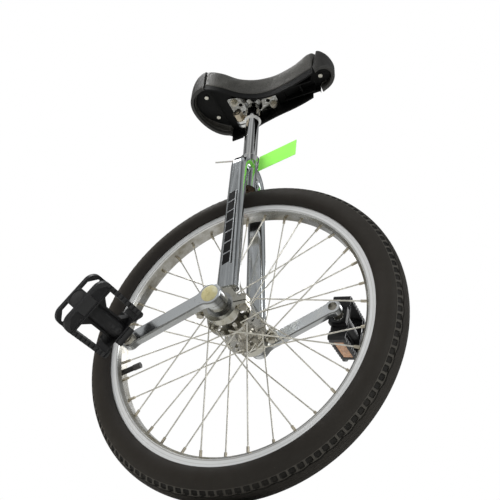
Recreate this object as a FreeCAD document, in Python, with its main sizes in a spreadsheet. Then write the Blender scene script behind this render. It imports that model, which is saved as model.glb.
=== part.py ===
import FreeCAD, Part
import math
import os
import Sketcher

# A 20 inch unicycle. Millimetres, +Z up, +X the way the rider faces, +Y to the rider's left.
# The origin is on the ground under the axle. Heights named "above the axle" start from the axle.

DRIVING = {
    # wheel
    "wheel_radius": 247, "tyre_half_width": 21.7, "tyre_wall": 3.3, "tread_gauge": 4,
    "bead_radius": 203.2, "bead_half_width": 11.2, "tube_wall": 1.2,
    "rim_radius": 209.5, "rim_half_width": 13.4, "rim_bed_radius": 193.4,
    "rim_bed_half_width": 7.6, "rim_gauge": 1.6, "rim_strip_gauge": 0.8,
    "spoke_radius": 1, "spoke_step": 20, "first_spoke_angle": -1.1, "spoke_sweep": 60,
    "spoke_stagger": 2.5, "elbow_rise": 1.7, "nipple_radius": 2, "nipple_reach": 11,
    "valve_angle": 194.4, "valve_radius": 4, "valve_tip_radius": 164, "joint_angle": 14.4,
    "joint_span": 6.4, "joint_gauge": 2.2, "joint_half_width": 6,
    # hub, axle and bearings
    "flange_radius": 34, "flange_centre": 28, "flange_gauge": 3, "spoke_circle": 29.5,
    "oval_circle": 23.5, "barrel_radius": 13.5, "hub_half_width": 34,
    "axle_radius": 8.5, "axle_half_length": 61, "square_width": 12.6, "square_end": 80,
    "bearing_centre": 50, "bearing_width": 12, "bearing_radius": 20,
    "ball_circle": 14.25, "ball_radius": 3.375, "running_gap": 0.05,
    # cranks
    "crank_length": 130, "crank_angle": 21.5, "crank_face": 87, "crank_gauge": 13,
    "boss_radius": 16.5, "boss_inner_end": 62, "eye_radius": 12,
    "arm_half_width": 9.8, "arm_blend_radius": 20, "eye_hole_radius": 7.1,
    "cap_radius": 12.4, "cap_recess": 6, "crank_bolt_radius": 4,
    # pedals
    "pedal_start": 101, "pedal_end": 200, "pedal_half_width": 38.5, "pedal_half_height": 14,
    "rail_gauge": 6.5, "web_half_height": 5, "barrel_outer": 12.5, "spindle_radius": 6,
    "pedal_ball_radius": 2, "pedal_right_tilt": 50, "pedal_left_tilt": 80,
    # frame
    "holder_half_width": 6.5, "ear_end": 40, "cap_bolt_offset": 33, "cap_bolt_radius": 3,
    "leg_foot_height": 28, "leg_foot_offset": 49, "leg_foot_forward": 6.5,
    "leg_bend_height": 282, "leg_bend_offset": 36.5,
    "leg_bend_radius": 30, "leg_foot_half_width": 17, "leg_foot_half_depth": 9.5,
    "leg_top_half_width": 14, "leg_top_half_depth": 10.5, "leg_wall": 2,
    "steerer_radius": 14.3, "steerer_bore": 12.75, "steerer_base": 262, "steerer_top": 335,
    "collar_radius": 18, "collar_base": 321.5, "collar_lug_end": 27,
    # seat post
    "post_radius": 12.7, "post_bore": 11.15, "post_base": 278, "post_top": 465,
    "band_radius": 16.2, "band_base": 440, "clamp_bolt_offset": 22.5, "clamp_bolt_height": 451,
    # saddle
    "stem_radius": 11.1, "stem_base": 437, "plate_base": 488, "plate_gauge": 3,
    "rear_radius": 67, "rear_centre": 68, "flank_radius": 156.9, "flank_angle": 55,
    "nose_radius": 26.5, "nose_centre": 137, "wrap_gauge": 1.8, "skirt_gauge": 3.5,
    "bumper_gauge": 7, "rear_seam": 78, "front_seam": 130,
    # hanging tag
    "tie_radius": 13, "tag_length": 80, "tag_height": 34,
}

V = FreeCAD.Vector
ALONG = {
    "X": FreeCAD.Rotation(V(0, 1, 0), 90),
    "Y": FreeCAD.Rotation(V(1, 0, 0), -90),
    "Z": FreeCAD.Rotation(),
}
SIDES = (("left", 1), ("right", -1))

DOC = FreeCAD.newDocument("unicycle")
NODES = []


class Size:
    """A measure kept as a number and as the sheet formula that gives it."""

    def __init__(self, formula, number):
        self.formula = formula
        self.number = number

    def __add__(self, other):
        return Size(f"({self.formula} + {sized(other).formula})", self.number + sized(other).number)

    def __sub__(self, other):
        return Size(f"({self.formula} - {sized(other).formula})", self.number - sized(other).number)

    def __mul__(self, other):
        return Size(f"({self.formula} * {sized(other).formula})", self.number * sized(other).number)

    def __truediv__(self, other):
        return Size(f"({self.formula} / {sized(other).formula})", self.number / sized(other).number)

    def __radd__(self, other):
        return sized(other) + self

    def __rsub__(self, other):
        return sized(other) - self

    def __rmul__(self, other):
        return sized(other) * self

    def __neg__(self):
        return self * -1


def sized(value):
    """Wrap a plain number, so that it can be added to a Size."""
    return value if isinstance(value, Size) else Size(f"{value:g}", float(value))


def cosine(angle):
    angle = sized(angle)
    return Size(f"cos({angle.formula} * 1 deg)", math.cos(math.radians(angle.number)))


def sine(angle):
    angle = sized(angle)
    return Size(f"sin({angle.formula} * 1 deg)", math.sin(math.radians(angle.number)))


def root(value):
    return Size(f"sqrt({value.formula})", math.sqrt(value.number))


class Sheet:
    """The spreadsheet of driving dimensions, read back by name as a Size."""

    def __init__(self, values):
        self.table = DOC.addObject("Spreadsheet::Sheet", "dims")
        self.values = values
        for row, (alias, value) in enumerate(values.items(), start=1):
            self.table.set(f"A{row}", alias.replace("_", " "))
            self.table.set(f"B{row}", str(value))
            self.table.setAlias(f"B{row}", alias)

    def __getattr__(self, alias):
        return Size(f"dims.{alias}", float(self.values[alias]))


D = Sheet(DRIVING)
DOC.recompute()
AXLE = D.wheel_radius


# ---- building blocks ---------------------------------------------------------------------------

def bind(item, **sizes):
    """Tie the named properties of an object to the sheet."""
    for name, size in sizes.items():
        item.setExpression(name, sized(size).formula)


def place(item, at, rotation=None):
    """Set an object down with its position tied to the sheet."""
    base = [sized(value) for value in at]
    item.Placement = FreeCAD.Placement(V(*[value.number for value in base]), rotation or ALONG["Z"])
    for axis, value in zip("xyz", base):
        item.setExpression(f"Placement.Base.{axis}", value.formula)
    return item


def cylinder(name, radius, length, at, along="Z", rotation=None):
    item = DOC.addObject("Part::Cylinder", name)
    bind(item, Radius=radius, Height=length)
    return place(item, at, rotation or ALONG[along])


def cone(name, radius, end_radius, length, at, along="Z"):
    item = DOC.addObject("Part::Cone", name)
    bind(item, Radius1=radius, Radius2=end_radius, Height=length)
    return place(item, at, ALONG[along])


def block(name, lengths, centre, rotation=None):
    """A box centred on a point."""
    item = DOC.addObject("Part::Box", name)
    bind(item, Length=lengths[0], Width=lengths[1], Height=lengths[2])
    half = V(*[sized(value).number / 2 for value in lengths])
    turn = rotation or ALONG["Z"]
    if rotation:
        shift = turn.multVec(half)
        return place(item, [sized(c) - s for c, s in zip(centre, shift)], turn)
    return place(item, [sized(c) - sized(value) / 2 for c, value in zip(centre, lengths)])


def hexagon(name, flats, length, at, along="Z"):
    """A hexagonal bar, from its width across flats."""
    item = DOC.addObject("Part::Prism", name)
    item.Polygon = 6
    bind(item, Circumradius=sized(flats) / (2 * cosine(30)), Height=length)
    return place(item, at, ALONG[along])


def fuse(name, items):
    item = DOC.addObject("Part::MultiFuse", name)
    item.Shapes = items
    return item


def cut(name, base, tools):
    item = DOC.addObject("Part::Cut", name)
    item.Base = base
    item.Tool = tools[0] if len(tools) == 1 else fuse(name + "_tools", tools)
    return item


def common(name, first, second):
    item = DOC.addObject("Part::Common", name)
    item.Base = first
    item.Tool = second
    return item


def group(name, items):
    item = DOC.addObject("Part::Compound", name)
    item.Links = items
    return item


def free_form(name, shape):
    """Pieces set in space by the wheel's lacing, which no primitive or body feature lays out."""
    item = DOC.addObject("Part::Feature", name)
    item.Shape = shape
    return item


def node(item, label):
    item.Label = label
    NODES.append(item)
    return item


def new_body(name, at=(0, 0, 0), rotation=None):
    return place(DOC.addObject("PartDesign::Body", name), at, rotation)


def origin_item(body, role):
    return next(item for item in body.Origin.OriginFeatures if item.Role == role)


def new_sketch(body, name, role, *outlines, offset=None):
    sketch = body.newObject("Sketcher::SketchObject", name)
    sketch.AttachmentSupport = [(origin_item(body, role), "")]
    sketch.MapMode = "FlatFace"
    if offset:
        for axis, value in zip("xyz", offset):
            sketch.setExpression(f"AttachmentOffset.Base.{axis}", sized(value).formula)
    for outline in outlines:
        draw(sketch, outline)
    return sketch


def arc_between(start, end, radius):
    """The shorter arc from start to end, its centre on the left if the radius is positive."""
    chord = end - start
    middle = (start + end) / 2
    rise = math.sqrt(max(radius * radius - chord.Length ** 2 / 4, 0))
    left = V(-chord.y, chord.x, 0) / chord.Length
    centre = middle + left * math.copysign(rise, radius)
    circle = Part.Circle(centre, V(0, 0, 1), abs(radius))
    first, last = (start, end) if radius > 0 else (end, start)
    begin = circle.parameter(first)
    finish = circle.parameter(last)
    if finish < begin:
        finish += 2 * math.pi
    return Part.ArcOfCircle(circle, begin, finish)


def pin(sketch, kind, geometry, vertex, size, name):
    """Hold one end of a line or arc at a distance from the sketch's origin."""
    index = sketch.addConstraint(Sketcher.Constraint(kind, -1, 1, geometry, vertex, size.number))
    sketch.renameConstraint(index, name)
    sketch.setExpression(f"Constraints.{name}", size.formula)


def draw(sketch, outline):
    """Draw a closed outline of corners (x, y); (x, y, radius) ends an arc from the corner before."""
    base = sketch.GeometryCount
    corners = [[sized(value) for value in corner] for corner in outline]
    ends = []
    for index, corner in enumerate(corners):
        start = V(corners[index - 1][0].number, corners[index - 1][1].number, 0)
        end = V(corner[0].number, corner[1].number, 0)
        if len(corner) == 3:
            sketch.addGeometry(arc_between(start, end, corner[2].number), False)
            ends.append((1, 2) if corner[2].number > 0 else (2, 1))
        else:
            sketch.addGeometry(Part.LineSegment(start, end), False)
            ends.append((1, 2))
    for index, corner in enumerate(corners):
        here = base + index
        after = base + (index + 1) % len(corners)
        next_start = ends[(index + 1) % len(corners)][0]
        sketch.addConstraint(Sketcher.Constraint("Coincident", here, ends[index][1], after, next_start))
        pin(sketch, "DistanceX", here, ends[index][1], corner[0], f"across{here}")
        pin(sketch, "DistanceY", here, ends[index][1], corner[1], f"along{here}")
        if len(corner) == 3:
            size = corner[2] if corner[2].number > 0 else -corner[2]
            number = sketch.addConstraint(Sketcher.Constraint("Radius", here, size.number))
            sketch.renameConstraint(number, f"radius{here}")
            sketch.setExpression(f"Constraints.radius{here}", size.formula)


def draw_circle(sketch, x, y, radius):
    index = sketch.addGeometry(Part.Circle(V(x.number, y.number, 0), V(0, 0, 1), radius.number), False)
    pin(sketch, "DistanceX", index, 3, x, f"across{index}")
    pin(sketch, "DistanceY", index, 3, y, f"along{index}")
    number = sketch.addConstraint(Sketcher.Constraint("Radius", index, radius.number))
    sketch.renameConstraint(number, f"radius{index}")
    sketch.setExpression(f"Constraints.radius{index}", radius.formula)


def pad(body, name, profile, length, both_ways=False, backwards=False):
    feature = body.newObject("PartDesign::Pad", name)
    feature.Profile = profile
    feature.Midplane = both_ways
    feature.Reversed = backwards
    bind(feature, Length=length)
    return feature


def pocket_through(body, name, profile, both_ways=True, backwards=False):
    feature = body.newObject("PartDesign::Pocket", name)
    feature.Profile = profile
    feature.Type = "ThroughAll"
    feature.Midplane = both_ways
    feature.Reversed = backwards
    return feature


def repeat_round(body, name, feature, count):
    """Repeat a feature round the body's Y axis."""
    pattern = body.newObject("PartDesign::PolarPattern", name)
    pattern.Originals = [feature]
    pattern.Axis = (origin_item(body, "Y_Axis"), [""])
    pattern.Angle = 360
    pattern.Occurrences = count
    body.Tip = pattern
    return pattern


def turned(name, outline, at, rotation=None):
    """A piece turned round the Y axis: corners are (radius, place along the axis)."""
    body = new_body(name, at, rotation)
    profile = new_sketch(body, name + "_profile", "XY_Plane", outline)
    feature = body.newObject("PartDesign::Revolution", name + "_turn")
    feature.Profile = profile
    feature.ReferenceAxis = (profile, ["V_Axis"])
    feature.Angle = 360
    return body


def mirrored_ends(outline):
    """Complete a half outline, given from -Y to the middle, with its mirror image."""
    back = []
    for index in range(len(outline) - 1, -1, -1):
        after = outline[index + 1] if index + 1 < len(outline) else None
        corner = (outline[index][0], -sized(outline[index][1]))
        if after is not None and len(after) == 3:
            corner = corner + (after[2],)
        back.append(corner)
    return back


def on_axle(y=0):
    return (0, y, AXLE)


# ---- wheel -------------------------------------------------------------------------------------

def tyre():
    centre = D.wheel_radius - D.tyre_half_width
    shoulder_y = D.rim_half_width + 2
    shoulder = centre - root(D.tyre_half_width * D.tyre_half_width - shoulder_y * shoulder_y)
    inside = D.tyre_half_width - D.tyre_wall
    inner_crown = D.wheel_radius - D.tread_gauge
    lip_y = D.bead_half_width - 2.4
    lip = inner_crown - inside - root(inside * inside - lip_y * lip_y)
    outline = [
        (D.bead_radius, -lip_y),
        (D.bead_radius, -D.bead_half_width),
        (D.rim_radius + 0.4, -D.bead_half_width),
        (D.rim_radius + 0.4, -shoulder_y),
        (shoulder, -shoulder_y),
        (D.wheel_radius, 0, D.tyre_half_width),
        (shoulder, shoulder_y, D.tyre_half_width),
        (D.rim_radius + 0.4, shoulder_y),
        (D.rim_radius + 0.4, D.bead_half_width),
        (D.bead_radius, D.bead_half_width),
        (D.bead_radius, lip_y),
        (lip, lip_y),
        (inner_crown, 0, -inside),
        (lip, -lip_y, -inside),
    ]
    node(turned("tyre", outline, on_axle()), "tyre")


def inner_tube():
    centre = D.wheel_radius - D.tread_gauge - (D.tyre_half_width - D.tyre_wall)
    outer = D.tyre_half_width - D.tyre_wall - 0.6
    rings = []
    for name, radius in (("tube_outside", outer), ("tube_inside", outer - D.tube_wall)):
        ring = DOC.addObject("Part::Torus", name)
        bind(ring, Radius1=centre, Radius2=radius)
        rings.append(place(ring, on_axle(), ALONG["Y"]))
    node(cut("inner_tube_cut", rings[0], [rings[1]]), "inner_tube")


def spoke_ends(side, number):
    """Flange hole, rim hole and lean of one spoke; even numbers lie outside the flange."""
    sweep = D.spoke_sweep.number
    step = D.spoke_step.number
    start = D.first_spoke_angle.number + (step / 2 if side > 0 else 0)
    hole_angle = math.radians(start + step * number)
    outside = number % 2 == 0
    rim_angle = hole_angle + math.radians(sweep if outside else -sweep)
    lift = D.flange_gauge.number / 2 + D.spoke_radius.number + 0.1
    wire_y = side * (D.flange_centre.number + (lift + D.elbow_rise.number if outside else -lift))
    hub = V(math.cos(hole_angle), 0, math.sin(hole_angle)) * D.spoke_circle.number
    rim = V(math.cos(rim_angle), 0, math.sin(rim_angle)) * D.rim_bed_radius.number
    centre = V(0, 0, AXLE.number)
    start_point = centre + hub + V(0, wire_y, 0)
    end_point = centre + rim + V(0, side * D.spoke_stagger.number, 0)
    return start_point, end_point, outside


def spoke(side, number):
    """One wire spoke with its elbow through the flange and its head."""
    start, end, outside = spoke_ends(side, number)
    radius = D.spoke_radius.number
    run = end - start
    wire = Part.makeCylinder(radius, run.Length, start, run)
    through = D.flange_gauge.number + 2 * radius + 0.8 + (D.elbow_rise.number if outside else 0)
    inward = V(0, -side if outside else side, 0)
    elbow = Part.makeCylinder(radius, through, start, inward)
    knee = Part.makeSphere(radius, start)
    head = Part.makeCylinder(2 * radius, 1, start + inward * (through - 0.6), inward)
    return wire.multiFuse([elbow, knee, head]).removeSplitter()


def nipple(side, number):
    """Nipple with a round head inside the rim, threaded over the spoke's end."""
    start, end, _ = spoke_ends(side, number)
    run = (end - start).normalize()
    radius = D.nipple_radius.number
    reach = D.nipple_reach.number
    shank = Part.makeCylinder(radius, reach + 0.6, end - run * (reach - 2), run)
    head = Part.makeCone(radius + 1, radius, 2.2, end + run * 2.4, run)
    bore = Part.makeCylinder(D.spoke_radius.number, D.nipple_reach.number, end, -run)
    return shank.fuse(head).removeSplitter().cut(bore)


def lacing():
    per_side = int(360 / D.spoke_step.number)
    nipples = []
    for name, side in SIDES:
        wires = [spoke(side, number) for number in range(per_side)]
        node(free_form("spokes_" + name, Part.makeCompound(wires)), "spokes_" + name)
        nipples += [nipple(side, number) for number in range(per_side)]
    node(free_form("spoke_nipples", Part.makeCompound(nipples)), "spoke_nipples")


def nipple_holes():
    holes = []
    for _, side in SIDES:
        for number in range(int(360 / D.spoke_step.number)):
            start, end, _ = spoke_ends(side, number)
            run = (end - start).normalize()
            holes.append(Part.makeCylinder(D.nipple_radius.number + 0.05, 14, end - run * 6, run))
    return free_form("nipple_holes", Part.makeCompound(holes))


def valve_frame(radius):
    """A point on the valve's line, and the turn that lays an object's Z axis outward along it."""
    at = (radius * cosine(D.valve_angle), 0, AXLE + radius * sine(D.valve_angle))
    return at, FreeCAD.Rotation(V(0, 1, 0), 90 - D.valve_angle.number)


def valve_cylinder(name, radius, start, end):
    at, turn = valve_frame(start)
    return cylinder(name, radius, end - start, at, rotation=turn)


def rim():
    bed = D.rim_bed_radius
    gauge = D.rim_gauge
    outline = [
        (bed, -D.rim_bed_half_width),
        (bed + 4.6, 0.6 - D.rim_half_width),
        (D.rim_radius - 1.2, -D.rim_half_width),
        (D.rim_radius, -D.rim_half_width + 0.8),
        (D.rim_radius, -D.rim_half_width + gauge),
        (bed + 5.4, -D.rim_half_width + 0.6 + gauge),
        (bed + gauge, -D.rim_bed_half_width + 0.6),
    ]
    hoop = turned("rim_hoop", outline + mirrored_ends(outline), on_axle())
    valve_hole = valve_cylinder("valve_hole", D.valve_radius + 0.05, bed - 4, bed + 8)
    node(cut("rim_cut", hoop, [nipple_holes(), valve_hole]), "rim")


def rim_strip():
    low = D.rim_bed_radius + 4.9
    high = low + D.rim_strip_gauge
    half = D.bead_half_width - 2.2
    outline = [(low, -half), (high, -half), (high, half), (low, half)]
    strip = turned("strip_hoop", outline, on_axle())
    hole = valve_cylinder("strip_hole", D.valve_radius + 0.05, low - 3, high + 3)
    node(cut("strip_cut", strip, [hole]), "rim_strip")


def rim_joint():
    """The curved sleeve that closes the rim's joint, opposite the valve."""
    low = D.rim_bed_radius + D.rim_gauge
    body = new_body("joint_body", on_axle(), FreeCAD.Rotation(V(0, 1, 0), -D.joint_angle.number))
    ends = []
    for radius in (low, low + D.joint_gauge):
        ends.append((radius * cosine(D.joint_span / 2), radius * sine(D.joint_span / 2)))
    profile = new_sketch(body, "joint_profile", "XZ_Plane", [
        (ends[0][0], -ends[0][1], -low),
        (ends[1][0], -ends[1][1]),
        (ends[1][0], ends[1][1], low + D.joint_gauge),
        (ends[0][0], ends[0][1]),
    ])
    pad(body, "joint_pad", profile, D.joint_half_width * 2, both_ways=True)
    node(body, "rim_joint_sleeve")


def valve():
    tube_skin = D.wheel_radius - D.tread_gauge - 2 * (D.tyre_half_width - D.tyre_wall) + 0.6
    tip = D.valve_tip_radius
    pieces = [
        valve_cylinder("valve_foot", D.valve_radius + 4, tube_skin - 1.2, tube_skin),
        valve_cylinder("valve_barrel", D.valve_radius, tip + 14, tube_skin - 1.2),
        valve_cylinder("valve_neck", D.valve_radius - 1, tip + 3, tip + 14),
    ]
    node(fuse("valve_fuse", pieces), "valve_stem")
    shell = valve_cylinder("cap_shell", D.valve_radius + 0.6, tip, tip + 12)
    bore = valve_cylinder("cap_bore", D.valve_radius - 1, tip + 3, tip + 12.5)
    node(cut("cap_cut", shell, [bore]), "valve_cap")


def hub():
    """A barrel between two drilled flanges, pressed on to its shoulders."""
    inner = D.flange_centre - D.flange_gauge / 2
    outer = D.flange_centre + D.flange_gauge / 2
    seat = D.barrel_radius + 3
    half = [
        (D.axle_radius, -D.hub_half_width),
        (D.barrel_radius, -D.hub_half_width),
        (seat, -outer),
        (seat, -inner),
        (D.barrel_radius, -inner + 12, -22),
    ]
    node(turned("barrel", half + mirrored_ends(half), on_axle()), "hub_barrel")
    flanges = []
    for name, side in SIDES:
        near = inner if side > 0 else -outer
        far = outer if side > 0 else -inner
        flange = turned("flange_" + name, [
            (seat, near), (D.flange_radius, near), (D.flange_radius, far), (seat, far)], on_axle())
        ovals = new_sketch(flange, f"oval_{name}_profile", "XZ_Plane", [
            (D.oval_circle - 2.6, -2.6),
            (D.oval_circle - 2.6, 2.6, -2.7),
            (D.oval_circle + 2.6, 2.6),
            (D.oval_circle + 2.6, -2.6, -2.7),
        ])
        windows = pocket_through(flange, f"oval_{name}_pocket", ovals)
        repeat_round(flange, f"oval_{name}_ring", windows, 6)
        angle = D.first_spoke_angle + (D.spoke_step / 2 if side > 0 else 0)
        holes = new_sketch(flange, f"spoke_hole_{name}_profile", "XZ_Plane")
        across = D.spoke_circle * cosine(angle)
        up = D.spoke_circle * sine(angle)
        draw_circle(holes, across, up, D.spoke_radius + 0.05)
        drilled = pocket_through(flange, f"spoke_hole_{name}", holes)
        repeat_round(flange, f"spoke_hole_ring_{name}", drilled, int(360 / D.spoke_step.number))
        flanges.append(flange)
    node(group("hub_flanges", flanges), "hub_flanges")


def axle():
    shaft = cylinder("axle_shaft", D.axle_radius, D.axle_half_length * 2, on_axle(-D.axle_half_length), "Y")
    square = block("axle_square", (D.square_width, D.square_end * 2, D.square_width), on_axle(),
                   FreeCAD.Rotation(V(0, 1, 0), -D.crank_angle.number))
    round_bar = cylinder("axle_bar", D.axle_radius, D.square_end * 2, on_axle(-D.square_end), "Y")
    square = common("axle_square_ends", square, round_bar)
    bores = []
    for name, side in SIDES:
        start = D.square_end * side + (-22 if side > 0 else 0) - (1 if side < 0 else 0)
        bores.append(cylinder("bolt_bore_" + name, D.crank_bolt_radius, 23, on_axle(start), "Y"))
    node(cut("axle_cut", fuse("axle_fuse", [shaft, square]), bores), "hub_axle")


def axle_collars():
    gap = D.bearing_centre - D.bearing_width / 2
    collars = []
    for name, side in SIDES:
        start = D.hub_half_width if side > 0 else -gap
        length = gap - D.hub_half_width
        outside = cylinder(f"collar_{name}_out", D.axle_radius + 3.6, length, on_axle(start), "Y")
        bore = cylinder(f"collar_{name}_bore", D.axle_radius, gap, on_axle(start - 1), "Y")
        collars.append(cut(f"collar_{name}", outside, [bore]))
    node(group("axle_collars", collars), "axle_collars")


def bearings():
    """Deep-groove bearings: inner rings and balls turn with the wheel, outer rings stay in the frame."""
    half = D.bearing_width / 2
    groove = D.ball_radius + D.running_gap
    inner_edge = D.ball_circle - 2
    outer_edge = D.ball_circle + 2
    depth = root(groove * groove - sized(2) * 2)
    inner = []
    outer = []
    shields = []
    balls = []
    for name, side in SIDES:
        at = on_axle(D.bearing_centre * side)
        inner.append(turned("inner_ring_" + name, [
            (D.axle_radius, -half), (inner_edge, -half), (inner_edge, -depth),
            (inner_edge, depth, -groove), (inner_edge, half), (D.axle_radius, half)], at))
        outer.append(turned("outer_ring_" + name, [
            (outer_edge, -half), (D.bearing_radius, -half), (D.bearing_radius, half),
            (outer_edge, half), (outer_edge, depth), (outer_edge, -depth, -groove)], at))
        for end in (-1, 1):
            face = end * (half - 0.9)
            label = f"shield_{name}_{'in' if end < 0 else 'out'}"
            shields.append(turned(label, [
                (inner_edge + 0.4, face - 0.3), (outer_edge, face - 0.3),
                (outer_edge, face + 0.3), (inner_edge + 0.4, face + 0.3)], at))
        balls += ball_ring("bearing_ball_" + name, 8, D.ball_circle, D.ball_radius, at)
    node(group("bearing_inner_rings", inner), "bearing_inner_rings")
    node(group("bearing_balls", balls), "bearing_balls")
    node(group("bearing_outer_rings", outer), "bearing_outer_rings")
    node(group("bearing_shields", shields), "bearing_shields")


def ball_ring(name, count, circle, radius, at):
    balls = []
    for number in range(count):
        angle = 360 * number / count
        ball = DOC.addObject("Part::Sphere", f"{name}_{number}")
        bind(ball, Radius=radius)
        place(ball, (at[0] + circle * cosine(angle), at[1], at[2] + circle * sine(angle)))
        balls.append(ball)
    return balls


# ---- cranks and pedals -------------------------------------------------------------------------

def crank_turn(side):
    """The turn of a crank whose arm lies along X and whose outer face looks along +Y."""
    if side > 0:
        return FreeCAD.Rotation(V(0, 1, 0), -D.crank_angle.number)
    flip = FreeCAD.Rotation(V(1, 0, 0), 180)
    return FreeCAD.Rotation(V(0, 1, 0), -180 - D.crank_angle.number).multiply(flip)


def crank(name, side):
    label = "crank_" + name
    body = new_body(label + "_body", on_axle(), crank_turn(side))
    boss = D.boss_radius
    eye = D.eye_radius
    half = D.arm_half_width
    blend = D.arm_blend_radius
    boss_x = root((boss + blend) * (boss + blend) - (half + blend) * (half + blend))
    eye_x = root((eye + blend) * (eye + blend) - (half + blend) * (half + blend))
    boss_share = boss / (boss + blend)
    eye_share = eye / (eye + blend)
    upper = [
        (boss_x * boss_share, (half + blend) * boss_share, -boss),
        (boss_x, half, blend),
        (D.crank_length - eye_x, half),
        (D.crank_length - eye_x * eye_share, (half + blend) * eye_share, blend),
    ]
    lower = [
        (upper[3][0], -upper[3][1], -eye),
        (upper[2][0], -half, blend),
        (upper[1][0], -half),
        (upper[0][0], -upper[0][1], blend),
    ]
    outline = [(-boss, 0, -boss)] + upper + [(D.crank_length + eye, 0, -eye)] + lower
    arm = new_sketch(body, label + "_arm_profile", "XZ_Plane", outline,
                     offset=(0, 0, D.crank_gauge / 2 - D.crank_face))
    solid = pad(body, label + "_arm", arm, D.crank_gauge, both_ways=True)
    DOC.recompute()
    long_edges = rim_edges(solid.Shape, (D.crank_face.number, D.crank_face.number - D.crank_gauge.number))
    soften = body.newObject("PartDesign::Fillet", label + "_soft_edges")
    soften.Base = (solid, long_edges)
    soften.Radius = 2.2
    boss_length = D.crank_face - D.crank_gauge + 4 - D.boss_inner_end
    boss_start = D.boss_inner_end if side > 0 else -D.boss_inner_end - boss_length
    inner_boss = cylinder(label + "_boss", boss - 0.8, boss_length, on_axle(boss_start), "Y")
    forging = fuse(label + "_forging", [body, inner_boss])
    tools = [
        block(label + "_square", (D.square_width, 60, D.square_width), (0, 60, 0)),
        cylinder(label + "_recess", D.cap_radius + 0.1, 20, (0, D.crank_face - D.cap_recess, 0), "Y"),
        cylinder(label + "_eye_hole", D.eye_hole_radius, 60, (D.crank_length, 50, 0), "Y"),
    ]
    cutter = fuse(label + "_cutter", tools)
    place(cutter, on_axle(), crank_turn(side))
    node(cut(label + "_cut", forging, [cutter]), label)


def rim_edges(shape, heights):
    """Names of the edges that lie in either of two planes across Y."""
    names = []
    for index, edge in enumerate(shape.Edges, start=1):
        box = edge.BoundBox
        flat = box.YLength < 0.01
        if flat and min(abs(box.YMin - height) for height in heights) < 0.01:
            names.append(f"Edge{index}")
    return names


def crank_fasteners():
    bolts = []
    caps = []
    for name, side in SIDES:
        seat = D.crank_face - D.cap_recess
        head_y = seat if side > 0 else -seat - 4
        shank_y = seat - 21 if side > 0 else -seat
        head = hexagon(f"bolt_{name}_head", 14, 4, on_axle(head_y), "Y")
        shank = cylinder(f"bolt_{name}_shank", D.crank_bolt_radius, 21, on_axle(shank_y), "Y")
        bolts.append(fuse(f"bolt_{name}", [head, shank]))
        base = D.crank_face - 1.8
        outline = [(0, base), (D.cap_radius, base), (D.cap_radius, D.crank_face + 0.2),
                   (2, D.crank_face + 1.8, 50), (0, D.crank_face + 1.8)]
        turn = ALONG["Z"] if side > 0 else FreeCAD.Rotation(V(0, 0, 1), 180)
        caps.append(turned(f"cap_{name}", outline, on_axle(), turn))
    node(group("crank_bolts", bolts), "crank_bolts")
    node(group("dust_caps", caps), "dust_caps")


def pedal_centre(side):
    reach = D.crank_length * side
    return (reach * cosine(D.crank_angle), 0, AXLE + reach * sine(D.crank_angle))


def pedal_turn(side):
    """The turn of a pedal drawn with its axis along +Y and its width along X."""
    tilt = D.pedal_left_tilt.number if side > 0 else D.pedal_right_tilt.number
    lean = FreeCAD.Rotation(V(0, 1, 0), -tilt)
    return lean if side > 0 else lean.multiply(FreeCAD.Rotation(V(1, 0, 0), 180))


def pedal_spindle(name, side):
    """Spindle screwed into the crank's eye, with wrench flats, collar and bearing seats."""
    gap = D.crank_face
    outline = [
        (0, gap - 8), (D.eye_hole_radius, gap - 8), (D.eye_hole_radius, gap),
        (9.2, gap), (9.2, gap + 5), (7.4, gap + 6), (7.4, D.pedal_start - 0.6),
        (D.spindle_radius, D.pedal_start - 0.6), (D.spindle_radius, D.pedal_end - 9),
        (0, D.pedal_end - 9),
    ]
    turn = ALONG["Z"] if side > 0 else FreeCAD.Rotation(V(0, 0, 1), 180)
    node(turned("pedal_spindle_" + name, outline, pedal_centre(side), turn), "pedal_spindle_" + name)


def pedal_plan(label):
    """The pedal's block, as seen from above: notched beside the barrel inboard, rounded outboard."""
    wide = D.pedal_half_width
    body = new_body(label + "_plan")
    profile = new_sketch(body, label + "_plan_profile", "XY_Plane", [
        (-wide + 5, D.pedal_start + 6, 5),
        (-D.barrel_outer - 1, D.pedal_start + 14),
        (-D.barrel_outer - 1, D.pedal_start),
        (D.barrel_outer + 1, D.pedal_start),
        (D.barrel_outer + 1, D.pedal_start + 14),
        (wide - 5, D.pedal_start + 6),
        (wide, D.pedal_start + 11, 5),
        (wide, D.pedal_end - 15),
        (wide - 15, D.pedal_end, 15),
        (-wide + 15, D.pedal_end),
        (-wide, D.pedal_end - 15, 15),
        (-wide, D.pedal_start + 11),
    ])
    pad(body, label + "_plan_pad", profile, D.pedal_half_height * 2, both_ways=True)
    return body


def pedal_windows(label):
    """The two openings beside the barrel and the two slots behind the outboard loop."""
    near = D.pedal_start + 9
    far = D.pedal_end - 24
    edge = D.pedal_half_width - D.rail_gauge
    body = new_body(label + "_windows")
    for number, side in enumerate((1, -1)):
        profile = new_sketch(body, f"{label}_window_profile_{number}", "XY_Plane")
        draw(profile, oriented([
            (edge * side, near + 4), (edge * side, far - 2), ((edge - 7) * side, far - 2),
            (14.5 * side, far - 18), (14.5 * side, near + 15), ((edge - 8) * side, near + 4)], side))
        draw(profile, oriented([
            ((edge + 2) * side, D.pedal_end - 19), (12 * side, D.pedal_end - 19),
            (12 * side, D.pedal_end - 4), ((edge - 9) * side, D.pedal_end - 4),
            ((edge + 2) * side, D.pedal_end - 14)], -side))
        pad(body, f"{label}_window_{number}", profile, D.pedal_half_height * 2 + 4, both_ways=True)
    return body


def oriented(outline, side):
    return outline if side > 0 else outline[::-1]


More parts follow.
